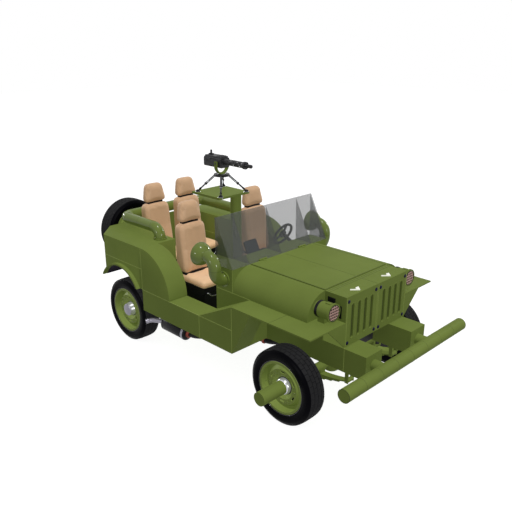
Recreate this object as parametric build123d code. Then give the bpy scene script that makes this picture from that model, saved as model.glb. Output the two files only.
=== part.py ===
from build123d import *
import os
from math import cos, radians, sin, sqrt

# Open four-seat army 4x4 with a post-mounted gun, in millimetres.
# X runs forward, Y to the vehicle's left, Z up, and the ground is Z = 0.
# Stations along X are measured from the rear face of the cowl, and every
# finished piece is moved by ORIGIN_SHIFT so that the origin lies under the
# middle of the vehicle.

# ---- driving dimensions: wheels and chassis ----
FRONT_AXLE_X = 889          # front axle ahead of the cowl's rear face
WHEELBASE = 2030
TYRE_RADIUS = 308
TYRE_WIDTH = 186
TYRE_CENTRE_Y = 679.5       # middle of the tread
RIM_RADIUS = 203            # bead seat
RIM_WIDTH = 172
RIM_WALL = 9
FLANGE_HEIGHT = 9           # rim flange above the bead seat
DISC_WALL = 9
HUB_BORE = 26               # radius of the wheel's centre hole
SPINDLE_CLEARANCE = 0.3
HUB_STUB_RADIUS = 55        # the long stub on each front wheel
HUB_STUB_REACH = 985        # Y of its outer end
KINGPIN_Y = 500
RAIL_INNER_Y = 200
RAIL_WIDTH = 200
RAIL_BOTTOM_Z = 425
RAIL_DEPTH = 195
RAIL_FRONT_X = 1400
SILL_RAIL_DEPTH = 60        # channels that carry the floor
SILL_RAIL_WIDTH = 100
TUBE_RADIUS = 52            # every round tube on the body
BUMPER_X = 1507
BUMPER_Z = 525
BUMPER_HALF_LENGTH = 800
BUMPER_STUB_RADIUS = 44

# ---- driving dimensions: body ----
BODY_HALF_WIDTH = 800
COWL_HALF_WIDTH = 600       # also the tub's inside, between the sills
LOCKER_Y = 400              # inner face of the boxes over the rear wheels
SILL_BOTTOM_Z = 425
SILL_TOP_Z = 630
PLATE_TOP_Z = 830           # flat front fenders
DECK_TOP_Z = 1030           # tub, cowl and nose
PANEL = 10
LOWER_FRONT_X = 400         # lower front face of the body
COWL_FRONT_X = 200
NOSE_REAR_X = 1000
GRILLE_X = 1200             # front face of the grille
HOOD_HALF_WIDTH = 400
GRILLE_WALL = 12
GUSSET_FRONT_X = 600        # top of the brace under each fender
CURVE_AHEAD = 341           # top of the rear quarter's front curve, ahead of the rear axle
TUB_BEHIND = 459            # rear face of the tub, behind the rear axle
CORNER_CUT = 200            # chamfer at each rear corner of the tub, seen from above
FLOOR_TOP_Z = 445
CARGO_FLOOR_Z = 600
ARCH_RADIUS = 318
FLARE_WALL = 18
FLARE_REACH = 36
WELL_SIDE_GAP = 36.5        # inside the arch, from the tyre inwards
GLASS_TOP_Z = 1430
GLASS_RAKE = 200            # the top edge stands this far behind the bottom
GLASS_WALL = 8

# ---- driving dimensions: axles and drive ----
DISC_FACE = 20              # inner face of the wheel's disc from mid-tread
DISH_HUB_RADIUS = 75        # rings of the dished disc, from the hub outwards
DISH_RING_RADIUS = 105
DISH_RING_WIDTH = 35
DISH_EDGE_RADIUS = 165
DISH_RISE = 28              # raised ring above the hub face
DISH_DROP = 10              # outer edge below the hub face
HAND_SLOTS = 6              # oval slots through the raised ring of the disc
HAND_SLOT_LENGTH = 44
HAND_SLOT_WIDTH = 16
CAP_REACH = 63              # rear hub cap beyond the disc's inner face
SPARE_BOSS = 60
AXLE_TUBE = 38
AXLE_END_GAP = 60           # from the kingpin to the end of the axle tube
FORK_HALF_LENGTH = 32
FORK_INNER = 78             # half the opening of the fork
FORK_WALL = 20
FORK_REACH = 28             # fork ears beyond the kingpin
SWIVEL_HUB_RADIUS = 30
NECK_RADIUS = 45
NECK_LENGTH = 90
STEER_ARM_LENGTH = 120
STEER_ARM_HALF_WIDTH = 15
STEER_ARM_Z = (-70, -50)    # below the axle line
TIE_ROD_RADIUS = 11
TIE_EYE_RADIUS = 20
TIE_EYE_HALF_HEIGHT = 13
TIE_PIN_RADIUS = 8
TIE_NUT_RADIUS = 14
TIE_NUT_HEIGHT = 8
DRUM_RADIUS = 140
DRUM_START = 80             # inner face of the front drum from the kingpin
LEAF_WIDTH = 60
LEAF_WALL = 10
LEAF_HALF_LENGTHS = (300, 225, 150, 80)
LEAF_RISE = 45              # ends of the longest leaf above its middle
EYE_RADIUS = 18
SHACKLE_HALF_WIDTH = 15
SADDLE_HALF_LENGTH = 40
SADDLE_WALL = 8
DIFF_Y = -140
DIFF_RADIUS = 95
PINION_REACH = 120
PINION_RADIUS = 36
SHAFT_RADIUS = 24
CASE_X = (-330, 60)         # gearbox and transfer case
CASE_Y = (-212, 110)
CASE_BOTTOM_Z = 250
ENGINE_X = (480, 1060)
ENGINE_HALF_WIDTH = 180
ENGINE_Z = (450, 930)
ENGINE_FOOT_X = (640, 760)
ENGINE_FOOT_WALL = 30
RADIATOR_X = (1110, 1160)
RADIATOR_HALF_WIDTH = 330
RADIATOR_TOP_Z = 985
SILENCER_X = (-640, -240)
SILENCER_INSET = 80         # inside the cowl's right side
SILENCER_Z = 340
SILENCER_RADIUS = 62
PIPE_RADIUS = 22
PIPE_FRONT_X = 120
PIPE_END_AHEAD = 141        # end of the tail pipe, ahead of the rear axle
PIPE_DROP = 40
HANGER_X = (-460, -420)
HANGER_HALF_WIDTH = 10

# ---- driving dimensions: hood ----
LID_WALL = 10
LID_GAP = 6                 # all round the lid
LID_LIFT = 5                # its top above the deck
LIP_WIDTH = 30              # ledge that the closed lid lies on
SEAT_GAP = 0.3              # between two pieces that rest on each other
HINGE_Y = 250               # middle of each of the two hinges
HINGE_RADIUS = 7
HINGE_HALF_LENGTH = 45
HINGE_SHARE = 16            # half length of the lid's own barrel
HINGE_LEAF = 3
HINGE_GAP = 1               # between barrels, and from the barrels to the lid

# ---- driving dimensions: seats ----
SEAT_WIDTH = 290
CUSHION_BOTTOM_Z = 715
CUSHION_TOP_Z = 790
CUSHION_FRONT_X = -225
CUSHION_REAR_X = -605
BACK_TOP_Z = 1243
BACK_FOOT_X = -470
BACK_HEAD_X = -530
BACK_REAR_X = -618
HEADREST_WIDTH = 240
HEADREST_TOP_WIDTH = 176
BACK_ARCH = 10              # rise of the middle of the back's top above its corners
RUNNER_WIDTH = 24
RUNNER_DEPTH = 22
PAN_DEPTH = 70
PEDESTAL_INSET = 36
HEADREST_BOTTOM_Z = 1252
HEADREST_TOP_Z = 1432
FRONT_SEAT_Y = 400
REAR_SEAT_Y = 200
REAR_SEAT_AHEAD = 195       # rear edge of the rear cushions, ahead of the tub's rear face
SEAT_SOFT_EDGE = 24

# ---- driving dimensions: post, stand and gun ----
POST_X = -500
POST_Y = 100
PLATFORM_X = -600
PLATFORM_HALF = 190
PLATFORM_TOP_Z = 1450
PLATFORM_WALL = 20
STAND_X = -580
FOOT_SPREAD = 160
FOOT_RADIUS = 20
FOOT_HEIGHT = 9
LEG_TOP_SPREAD = 42
LEG_RADIUS = 10
LEG_ROD_RADIUS = 7
LEG_SPLIT = 0.5             # share of each leg that its thicker upper part takes
HEAD_RADIUS = 72
STAND_HEIGHT = 150          # from the platform to the underside of the head
HEAD_WALL = 20
TRUNNION_RISE = 102         # above the top of the head
RECEIVER_HALF_WIDTH = 54
RECEIVER_REAR_X = -766
RECEIVER_FRONT_X = -532
RECEIVER_HEIGHT = 103
RECEIVER_EDGE = 12
RECEIVER_DROP = 41          # its underside below the trunnions
SIGHT_INSET = 45
SIGHT_FOOT = 20
SIGHT_HEIGHT = 42
COVER_HEIGHT = 14           # lid on top of the receiver, within its height
COVER_INSET = 8
COVER_RIBS = 3
RECESS_DEPTH = 5            # oval recess in each side
RECESS_LENGTH = 70
RECESS_WIDTH = 18
JACKET_RADIUS = 28
JACKET_WALL = 4
JACKET_FLARE = 6
FLARE_LENGTH = 40
BARREL_RADIUS = 14
VENT_RADIUS = 8
VENT_ROWS = 5
VENT_PITCH = 40
VENT_COUNT = 3              # pairs of vents round the jacket in each row
JACKET_FRONT_X = -256
MUZZLE_RADIUS = 15
MUZZLE_X = -187
BORE_RISE = 16              # middle of the barrel above the trunnions
CRADLE_GAP = 12
CRADLE_WALL = 10
CRADLE_HALF_LENGTH = 18
TRUNNION_RADIUS = 9
SWIVEL_RADIUS = 24

# ---- driving dimensions: fittings ----
RAIL_POST_BEHIND = 100      # feet of the hand rail, behind the top of the front curve
RAIL_POST_Y = 500
HAND_RAIL_Z = 1130
HAND_RAIL_AHEAD = 100       # its cross tube, ahead of the tub's rear face
FOOT_FLANGE_RADIUS = 66
FOOT_FLANGE_WALL = 12
MIRROR_X = 100
MIRROR_REACH = 100          # from the cowl's side to the middle of the tube
MIRROR_BEND = 95
MIRROR_FOOT_Z = 930
MIRROR_Z = 1130
MIRROR_RADIUS = 98
MIRROR_FACE_X = -80
MIRROR_GLASS_WALL = 5
SPARE_BEHIND = 100          # middle of the spare wheel, behind the tub's rear face
SPARE_Y = -300
SPARE_Z = 930
LAMP_Y = 500
LAMP_Z = 930
LAMP_REAR_X = 1012
LAMP_FRONT_X = 1168
LAMP_RADIUS = 62
LAMP_RIM_RADIUS = 73
LAMP_RIM_WALL = 16
LAMP_WALL = 4
BOWL_DEPTH = 62             # behind the lamp's front face
BOWL_END_RADIUS = 22
BULB_RADIUS = 9
GUARD_BARS = 5              # each way across the lamp
GUARD_PITCH = 22
GUARD_BAR = 4
STEERING_X = -170
STEERING_Y = 400
STEERING_Z = 1040
STEERING_RADIUS = 118
STEERING_RIM = 9
COLUMN_TILT = 25
COLUMN_RADIUS = 16
DISPLAY_Y = -140
DISPLAY_WIDTH = 140
DISPLAY_HEIGHT = 120
DISPLAY_WALL = 14
SLOT_WIDTH = 34
SLOT_BOTTOM_Z = 682
SLOT_TOP_Z = 966
SLOT_PITCH = 80             # also from the middle of the grille to the first slot
SLOTS_A_SIDE = 4

# ---- sizes that follow from them ----
REAR_AXLE_X = FRONT_AXLE_X - WHEELBASE
CURVE_START_X = REAR_AXLE_X + CURVE_AHEAD
TUB_REAR_X = REAR_AXLE_X - TUB_BEHIND
LOCKER_REAR_X = TUB_REAR_X + CORNER_CUT
AXLE_Z = TYRE_RADIUS
RAIL_OUTER_Y = RAIL_INNER_Y + RAIL_WIDTH
RAIL_TOP_Z = RAIL_BOTTOM_Z + RAIL_DEPTH
RAIL_MID_Y = RAIL_INNER_Y + RAIL_WIDTH / 2
SIDE_BOX_Y = COWL_HALF_WIDTH
SIDE_BOX_WIDTH = BODY_HALF_WIDTH - SIDE_BOX_Y
PLATE_BOTTOM_Z = PLATE_TOP_Z - PANEL
CURVE_RADIUS = DECK_TOP_Z - SILL_TOP_Z
WELL_INNER_Y = TYRE_CENTRE_Y - TYRE_WIDTH / 2 - WELL_SIDE_GAP
HOOD_SIDE_RADIUS = DECK_TOP_Z - PLATE_TOP_Z
MIRROR_Y = COWL_HALF_WIDTH + MIRROR_REACH
SILENCER_Y = SILENCER_INSET - COWL_HALF_WIDTH
REAR_SEAT_SHIFT = TUB_REAR_X + REAR_SEAT_AHEAD - CUSHION_REAR_X
RAIL_POST_X = CURVE_START_X - RAIL_POST_BEHIND
HAND_RAIL_REAR_X = TUB_REAR_X + HAND_RAIL_AHEAD
SPARE_X = TUB_REAR_X - SPARE_BEHIND
PIPE_REAR_X = REAR_AXLE_X + PIPE_END_AHEAD
HEAD_BOTTOM_Z = PLATFORM_TOP_Z + STAND_HEIGHT
TRUNNION_Z = HEAD_BOTTOM_Z + HEAD_WALL + TRUNNION_RISE
RECEIVER_BOTTOM_Z = TRUNNION_Z - RECEIVER_DROP
RECEIVER_TOP_Z = RECEIVER_BOTTOM_Z + RECEIVER_HEIGHT
BORE_LINE_Z = TRUNNION_Z + BORE_RISE
TIE_ROD_Z = STEER_ARM_Z[0] - SEAT_GAP - TIE_EYE_HALF_HEIGHT
HINGE_X = COWL_FRONT_X + LID_GAP / 2
HINGE_Z = DECK_TOP_Z + LID_LIFT + HINGE_GAP + HINGE_RADIUS
BUMPER_FRONT_X = BUMPER_X + TUBE_RADIUS
SPARE_REAR_X = SPARE_X - TYRE_WIDTH / 2
ORIGIN_SHIFT = -(BUMPER_FRONT_X + SPARE_REAR_X) / 2
WHEELS = [  # name, station, side
    ("front_left", FRONT_AXLE_X, 1),
    ("front_right", FRONT_AXLE_X, -1),
    ("rear_left", REAR_AXLE_X, 1),
    ("rear_right", REAR_AXLE_X, -1),
]
SIDES = [("left", 1), ("right", -1)]
SEATS = [  # station shift, Y, floor under the seat
    (0, FRONT_SEAT_Y, FLOOR_TOP_Z),
    (0, -FRONT_SEAT_Y, FLOOR_TOP_Z),
    (REAR_SEAT_SHIFT, REAR_SEAT_Y, CARGO_FLOOR_Z),
    (REAR_SEAT_SHIFT, -REAR_SEAT_Y, CARGO_FLOOR_Z),
]


# ---- small helpers ----
def block(x, y, z):
    """A box between the given low and high limits."""
    limits = (x, y, z)
    size = [high - low for low, high in limits]
    middle = [(low + high) / 2 for low, high in limits]
    return Pos(*middle) * Box(*size)


def side_prism(outline, y):
    """An X-Z outline, as points, extruded between two Y values."""
    return side_solid(Polyline(*outline, close=True), y)


def side_solid(edges, y):
    """An X-Z outline, as edges, extruded between two Y values."""
    return extrude(Plane.XZ.offset(-y[0]) * make_face(edges), amount=y[0] - y[1])


def cross_prism(outline, x):
    """A Y-Z outline, as points, extruded between two X values."""
    return extrude(Plane.YZ.offset(x[0]) * make_face(Polyline(*outline, close=True)), amount=x[1] - x[0])


def plan_prism(outline, z):
    """An X-Y outline, as points, extruded between two Z values."""
    return extrude(Plane.XY.offset(z[0]) * make_face(Polyline(*outline, close=True)), amount=z[1] - z[0])


def rod(start, end, radius):
    """A round bar from one point to another."""
    axis = Vector(*end) - Vector(*start)
    standing = (Align.CENTER, Align.CENTER, Align.MIN)
    return Plane(origin=start, z_dir=axis) * Cylinder(radius, axis.length, align=standing)


def bent_tube(points, bend, radius):
    """A round bar along straight runs joined by tangent arcs."""
    path = FilletPolyline(*points, radius=bend)
    return sweep(Plane(origin=path @ 0, z_dir=path % 0) * Circle(radius), path=path)


def turned(outline, y_axis=True):
    """A closed (axial, radial) outline turned about Y, or about X."""
    if y_axis:
        return revolve(Plane.YZ * make_face(Polyline(*outline, close=True)), Axis.Y)
    return revolve(Plane.XZ * make_face(Polyline(*outline, close=True)), Axis.X)


def on_side(shape, side):
    """The left-hand shape, or its mirror image on the right."""
    return shape if side > 0 else mirror(shape, about=Plane.XZ)


def pair(shape):
    """The left-hand shape and its mirror image, as two solids of one node."""
    return Compound([shape, mirror(shape, about=Plane.XZ)])


# ---- chassis ----
def chassis_frame():
    """Box horns ahead of the body, channels under the floor and cross members."""
    floor_rail_z = (SILL_BOTTOM_Z - SILL_RAIL_DEPTH, SILL_BOTTOM_Z)
    floor_rail_y = (RAIL_MID_Y - SILL_RAIL_WIDTH / 2, RAIL_MID_Y + SILL_RAIL_WIDTH / 2)
    overlap = LOWER_FRONT_X + SILL_RAIL_WIDTH
    kick_x = REAR_AXLE_X - TYRE_RADIUS
    frame = Part()
    for side in (1, -1):
        horn = block((LOWER_FRONT_X, RAIL_FRONT_X), (RAIL_INNER_Y, RAIL_OUTER_Y), (RAIL_BOTTOM_Z, RAIL_TOP_Z))
        channel = block((kick_x, overlap), floor_rail_y, floor_rail_z)
        frame += on_side(horn + channel, side)
    cross_members = [  # station, length
        (LOWER_FRONT_X + SILL_RAIL_WIDTH / 2, SILL_RAIL_WIDTH),
        (CURVE_START_X, SILL_RAIL_WIDTH),
        (kick_x + SILL_RAIL_WIDTH / 2, SILL_RAIL_WIDTH),
    ]
    for station, length in cross_members:
        frame += block((station - length / 2, station + length / 2), (-RAIL_MID_Y, RAIL_MID_Y), floor_rail_z)
    return frame


def front_bumper():
    """A round tube across the front on two short stubs."""
    tube = rod((BUMPER_X, -BUMPER_HALF_LENGTH, BUMPER_Z), (BUMPER_X, BUMPER_HALF_LENGTH, BUMPER_Z),
               TUBE_RADIUS)
    for side in (1, -1):
        stub_y = side * RAIL_MID_Y
        tube += rod((RAIL_FRONT_X, stub_y, BUMPER_Z), (BUMPER_X, stub_y, BUMPER_Z), BUMPER_STUB_RADIUS)
    return tube


# ---- body ----
def slot(y):
    """One upright slot with round ends, as a cutter through the grille."""
    height = SLOT_TOP_Z - SLOT_BOTTOM_Z
    outline = SlotOverall(height, SLOT_WIDTH, rotation=90)
    middle = Plane.YZ.offset(GRILLE_X - 2 * GRILLE_WALL) * Pos(y, (SLOT_TOP_Z + SLOT_BOTTOM_Z) / 2) * outline
    return extrude(middle, amount=3 * GRILLE_WALL)


def grille():
    """The slotted front plate with a corner gusset on each side."""
    outline = [
        (-HOOD_HALF_WIDTH, SILL_TOP_Z), (HOOD_HALF_WIDTH, SILL_TOP_Z),
        (COWL_HALF_WIDTH, PLATE_BOTTOM_Z), (HOOD_HALF_WIDTH, PLATE_BOTTOM_Z),
        (HOOD_HALF_WIDTH, DECK_TOP_Z), (-HOOD_HALF_WIDTH, DECK_TOP_Z),
        (-HOOD_HALF_WIDTH, PLATE_BOTTOM_Z), (-COWL_HALF_WIDTH, PLATE_BOTTOM_Z),
    ]
    plate = cross_prism(outline, (GRILLE_X - GRILLE_WALL, GRILLE_X))
    for side in (1, -1):
        for index in range(SLOTS_A_SIDE):
            plate -= slot(side * (index + 1) * SLOT_PITCH)
    return plate


def nose_panel():
    """Top and sides between the hood lid and the grille."""
    x = (NOSE_REAR_X, GRILLE_X - GRILLE_WALL - SEAT_GAP)
    shell = block(x, (-HOOD_HALF_WIDTH, HOOD_HALF_WIDTH), (PLATE_TOP_Z, DECK_TOP_Z))
    shell -= block((x[0] - 1, x[1] + 1), (PANEL - HOOD_HALF_WIDTH, HOOD_HALF_WIDTH - PANEL),
                   (PLATE_TOP_Z - 1, DECK_TOP_Z - PANEL))
    return shell


def front_fender():
    """Left flat fender, its inner wall and the round hood side above it."""
    inner = HOOD_HALF_WIDTH
    plate = plan_prism([
        (LOWER_FRONT_X, COWL_HALF_WIDTH - PANEL), (NOSE_REAR_X - PANEL, COWL_HALF_WIDTH - PANEL),
        (NOSE_REAR_X - PANEL, inner), (GRILLE_X, inner),
        (GRILLE_X, BODY_HALF_WIDTH), (LOWER_FRONT_X, BODY_HALF_WIDTH)], (PLATE_BOTTOM_Z, PLATE_TOP_Z))
    length = NOSE_REAR_X - COWL_FRONT_X
    shell = Cylinder(HOOD_SIDE_RADIUS, length) - Cylinder(HOOD_SIDE_RADIUS - PANEL, length + 2)
    round_side = Rot(0, 90, 0) * shell
    round_side = Pos(COWL_FRONT_X + length / 2, inner, PLATE_TOP_Z) * round_side
    quarter = block((COWL_FRONT_X, NOSE_REAR_X), (inner, COWL_HALF_WIDTH), (PLATE_TOP_Z, DECK_TOP_Z))
    bulkhead = Rot(0, 90, 0) * Cylinder(HOOD_SIDE_RADIUS - 1, PANEL)
    bulkhead = Pos(NOSE_REAR_X - PANEL / 2, inner, PLATE_TOP_Z) * bulkhead
    skirt_y = (COWL_HALF_WIDTH - PANEL, COWL_HALF_WIDTH)
    skirt = block((COWL_FRONT_X, NOSE_REAR_X), skirt_y, (PLATE_BOTTOM_Z, PLATE_TOP_Z))
    lip_top = DECK_TOP_Z + LID_LIFT - LID_WALL - SEAT_GAP
    lip = block((COWL_FRONT_X + LIP_WIDTH, NOSE_REAR_X), (inner - LIP_WIDTH, inner + PANEL / 2),
                (lip_top - PANEL, lip_top))
    wall = block((LOWER_FRONT_X, NOSE_REAR_X), (inner, inner + PANEL), (RAIL_TOP_Z, PLATE_TOP_Z))
    shelf = block((LOWER_FRONT_X, NOSE_REAR_X), (inner, COWL_HALF_WIDTH), (PLATE_BOTTOM_Z, PLATE_TOP_Z))
    return plate + ((round_side + bulkhead) & quarter) + skirt + lip + wall + shelf


def hood_lid():
    """The flat lid with two hinge barrels along its rear edge."""
    top = DECK_TOP_Z + LID_LIFT
    lid_y = (LID_GAP - HOOD_HALF_WIDTH, HOOD_HALF_WIDTH - LID_GAP)
    lid = block((COWL_FRONT_X + LID_GAP, NOSE_REAR_X - LID_GAP), lid_y, (top - LID_WALL, top))
    rib = block((COWL_FRONT_X + 4 * LIP_WIDTH, NOSE_REAR_X - 2 * LIP_WIDTH), (-PANEL, PANEL),
                (top - 3 * LID_WALL, top - LID_WALL))
    lid += rib
    for side in (1, -1):
        y = (side * HINGE_Y - HINGE_SHARE + HINGE_GAP, side * HINGE_Y + HINGE_SHARE - HINGE_GAP)
        lid += rod((HINGE_X, y[0], HINGE_Z), (HINGE_X, y[1], HINGE_Z), HINGE_RADIUS)
        lid += block((HINGE_X, HINGE_X + LIP_WIDTH), y, (top, top + HINGE_LEAF))
    return lid


def cowl():
    """Cowl top, dash, side cheeks and stepped firewall in one pressing."""
    cheek_outline = [
        (0, SILL_TOP_Z), (LOWER_FRONT_X, SILL_TOP_Z), (LOWER_FRONT_X, PLATE_BOTTOM_Z),
        (COWL_FRONT_X, PLATE_BOTTOM_Z), (COWL_FRONT_X, DECK_TOP_Z), (0, DECK_TOP_Z)]
    shell = Part()
    for side in (1, -1):
        shell += on_side(side_prism(cheek_outline, (COWL_HALF_WIDTH - PANEL, COWL_HALF_WIDTH)), side)
    width = (-COWL_HALF_WIDTH, COWL_HALF_WIDTH)
    shell += block((0, COWL_FRONT_X), width, (DECK_TOP_Z - PANEL, DECK_TOP_Z))
    shell += block((0, PANEL), width, (PLATE_TOP_Z + 3 * PANEL, DECK_TOP_Z))
    shell += block((COWL_FRONT_X - PANEL, COWL_FRONT_X), width, (PLATE_BOTTOM_Z - PANEL, DECK_TOP_Z))
    shell += block((COWL_FRONT_X - PANEL, LOWER_FRONT_X), width, (PLATE_BOTTOM_Z - PANEL, PLATE_BOTTOM_Z))
    shell += block((LOWER_FRONT_X - PANEL, LOWER_FRONT_X), width, (FLOOR_TOP_Z, PLATE_BOTTOM_Z))
    for side in (1, -1):
        for low, high in ((-HINGE_HALF_LENGTH, -HINGE_SHARE), (HINGE_SHARE, HINGE_HALF_LENGTH)):
            y = (side * HINGE_Y + low, side * HINGE_Y + high)
            shell += rod((HINGE_X, y[0], HINGE_Z), (HINGE_X, y[1], HINGE_Z), HINGE_RADIUS)
            shell += block((COWL_FRONT_X, COWL_FRONT_X + HINGE_LEAF), y, (DECK_TOP_Z - LIP_WIDTH, HINGE_Z))
    return shell


def sill():
    """Left sill with the ramp up to the fender and the brace below it."""
    outline = [
        (CURVE_START_X, SILL_BOTTOM_Z), (LOWER_FRONT_X, SILL_BOTTOM_Z), (GUSSET_FRONT_X, PLATE_BOTTOM_Z),
        (LOWER_FRONT_X, PLATE_BOTTOM_Z), (LOWER_FRONT_X, PLATE_TOP_Z), (0, SILL_TOP_Z),
        (CURVE_START_X, SILL_TOP_Z)]
    return side_prism(outline, (SIDE_BOX_Y, BODY_HALF_WIDTH))


def rear_quarter():
    """Left locker over the rear wheel, its round front end and the wheel arch."""
    plan = [
        (CURVE_START_X, LOCKER_Y), (CURVE_START_X, BODY_HALF_WIDTH), (LOCKER_REAR_X, BODY_HALF_WIDTH),
        (TUB_REAR_X, BODY_HALF_WIDTH - CORNER_CUT), (TUB_REAR_X, LOCKER_Y)]
    body = plan_prism(plan, (SILL_TOP_Z, DECK_TOP_Z))
    curve = Pos(CURVE_START_X, SIDE_BOX_Y + SIDE_BOX_WIDTH / 2, SILL_TOP_Z) * Rot(90, 0, 0) * Cylinder(
        CURVE_RADIUS, SIDE_BOX_WIDTH)
    body += curve & block((CURVE_START_X, CURVE_START_X + CURVE_RADIUS), (SIDE_BOX_Y, BODY_HALF_WIDTH),
                          (SILL_TOP_Z, DECK_TOP_Z))
    flare_y = (BODY_HALF_WIDTH - FLARE_REACH, BODY_HALF_WIDTH + FLARE_REACH)
    flare = Cylinder(ARCH_RADIUS + FLARE_WALL, flare_y[1] - flare_y[0])
    flare = Pos(REAR_AXLE_X, sum(flare_y) / 2, SILL_TOP_Z) * Rot(90, 0, 0) * flare
    reach = ARCH_RADIUS + FLARE_WALL
    body += flare & block((REAR_AXLE_X - reach, REAR_AXLE_X + reach), flare_y,
                          (SILL_TOP_Z, SILL_TOP_Z + reach))
    well_y = (WELL_INNER_Y, BODY_HALF_WIDTH + 2 * FLARE_REACH)
    well = Cylinder(ARCH_RADIUS, well_y[1] - well_y[0])
    return body - Pos(REAR_AXLE_X, sum(well_y) / 2, SILL_TOP_Z) * Rot(90, 0, 0) * well


def tub_floor():
    """Foot-well floor, riser and raised cargo floor, in one folded sheet."""
    front = side_prism([
        (LOWER_FRONT_X, SILL_BOTTOM_Z), (LOWER_FRONT_X, FLOOR_TOP_Z), (CURVE_START_X, FLOOR_TOP_Z),
        (CURVE_START_X, CARGO_FLOOR_Z), (CURVE_START_X - PANEL, CARGO_FLOOR_Z),
        (CURVE_START_X - PANEL, SILL_BOTTOM_Z)], (-SIDE_BOX_Y, SIDE_BOX_Y))
    cargo_y = WELL_INNER_Y - 2 * PANEL
    cargo = block((TUB_REAR_X, CURVE_START_X), (-cargo_y, cargo_y),
                  (CARGO_FLOOR_Z - 2 * PANEL, CARGO_FLOOR_Z))
    stringers = Part()
    for side in (1, -1):
        stringers += on_side(block((LOCKER_REAR_X, CURVE_START_X - PANEL / 2),
                                   (RAIL_MID_Y - PANEL, RAIL_MID_Y + PANEL),
                                   (SILL_BOTTOM_Z, CARGO_FLOOR_Z - PANEL)), side)
        stringers += on_side(block((TUB_REAR_X, CURVE_START_X), (LOCKER_Y, cargo_y),
                                   (CARGO_FLOOR_Z - PANEL, SILL_TOP_Z)), side)
    return front + cargo + stringers


def rear_panel():
    """Rear wall between the lockers, with the boss that carries the spare."""
    panel = block((TUB_REAR_X, TUB_REAR_X + PANEL), (-LOCKER_Y, LOCKER_Y), (CARGO_FLOOR_Z, DECK_TOP_Z))
    boss = rod((TUB_REAR_X + PANEL, SPARE_Y, SPARE_Z),
               (SPARE_X - DISC_FACE + SEAT_GAP, SPARE_Y, SPARE_Z), SPARE_BOSS)
    return panel + boss


def windscreen():
    """One raked sheet of glass and five upright glass ribs behind it."""
    rise = GLASS_TOP_Z - DECK_TOP_Z
    slope = sqrt(rise ** 2 + GLASS_RAKE ** 2)
    run = GLASS_WALL * slope / rise
    base = COWL_FRONT_X
    pane = side_prism([
        (base, DECK_TOP_Z), (base - GLASS_RAKE, GLASS_TOP_Z), (base - GLASS_RAKE - run, GLASS_TOP_Z),
        (base - run, DECK_TOP_Z)], (-COWL_HALF_WIDTH, COWL_HALF_WIDTH))
    for y in (-1, -2 / 3, 0, 2 / 3, 1):
        middle = y * (COWL_HALF_WIDTH - GLASS_WALL / 2)
        pane += side_prism([(base - run, DECK_TOP_Z), (base - GLASS_RAKE - run / 2, GLASS_TOP_Z - run),
                            (0, DECK_TOP_Z)], (middle - GLASS_WALL / 2, middle + GLASS_WALL / 2))
    return pane


# ---- fittings ----
def mirror_arm():
    """Left mirror: flange, bent tube, half-ball housing and glass."""
    tube = bent_tube([
        (MIRROR_X, COWL_HALF_WIDTH, MIRROR_FOOT_Z), (MIRROR_X, MIRROR_Y, MIRROR_FOOT_Z),
        (MIRROR_X, MIRROR_Y, MIRROR_Z), (MIRROR_FACE_X + MIRROR_RADIUS / 2, MIRROR_Y, MIRROR_Z)],
        MIRROR_BEND, TUBE_RADIUS)
    flange = rod((MIRROR_X, COWL_HALF_WIDTH, MIRROR_FOOT_Z),
                 (MIRROR_X, COWL_HALF_WIDTH + FOOT_FLANGE_WALL, MIRROR_FOOT_Z), FOOT_FLANGE_RADIUS)
    ball = Pos(MIRROR_FACE_X, MIRROR_Y, MIRROR_Z) * Sphere(MIRROR_RADIUS)
    half = block((MIRROR_FACE_X, MIRROR_FACE_X + MIRROR_RADIUS),
                 (MIRROR_Y - MIRROR_RADIUS, MIRROR_Y + MIRROR_RADIUS),
                 (MIRROR_Z - MIRROR_RADIUS, MIRROR_Z + MIRROR_RADIUS))
    glass = rod((MIRROR_FACE_X, MIRROR_Y, MIRROR_Z), (MIRROR_FACE_X - MIRROR_GLASS_WALL, MIRROR_Y, MIRROR_Z),
                MIRROR_RADIUS - PANEL)
    return tube + flange + (ball & half) + glass


def hand_rail():
    """U-shaped tube that stands on the lockers and passes behind the seats."""
    points = []
    for side in (-1, 1):
        run = [
            (RAIL_POST_X, side * RAIL_POST_Y, DECK_TOP_Z),
            (RAIL_POST_X, side * RAIL_POST_Y, HAND_RAIL_Z),
            (HAND_RAIL_REAR_X, side * RAIL_POST_Y, HAND_RAIL_Z)]
        points += run if side < 0 else run[::-1]
    rail = bent_tube(points, HAND_RAIL_Z - DECK_TOP_Z - 5, TUBE_RADIUS)
    for side in (1, -1):
        rail += Pos(RAIL_POST_X, side * RAIL_POST_Y, DECK_TOP_Z + FOOT_FLANGE_WALL / 2) * Cylinder(
            FOOT_FLANGE_RADIUS, FOOT_FLANGE_WALL)
    return rail


def gun_platform():
    """Round post from the floor with a flange at its foot and a square plate on top."""
    post = rod((POST_X, POST_Y, FLOOR_TOP_Z), (POST_X, POST_Y, PLATFORM_TOP_Z - PLATFORM_WALL), TUBE_RADIUS)
    foot = rod((POST_X, POST_Y, FLOOR_TOP_Z), (POST_X, POST_Y, FLOOR_TOP_Z + FOOT_FLANGE_WALL),
               FOOT_FLANGE_RADIUS)
    plate = block((PLATFORM_X - PLATFORM_HALF, PLATFORM_X + PLATFORM_HALF), (-PLATFORM_HALF, PLATFORM_HALF),
                  (PLATFORM_TOP_Z - PLATFORM_WALL, PLATFORM_TOP_Z))
    return post + foot + plate


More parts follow.
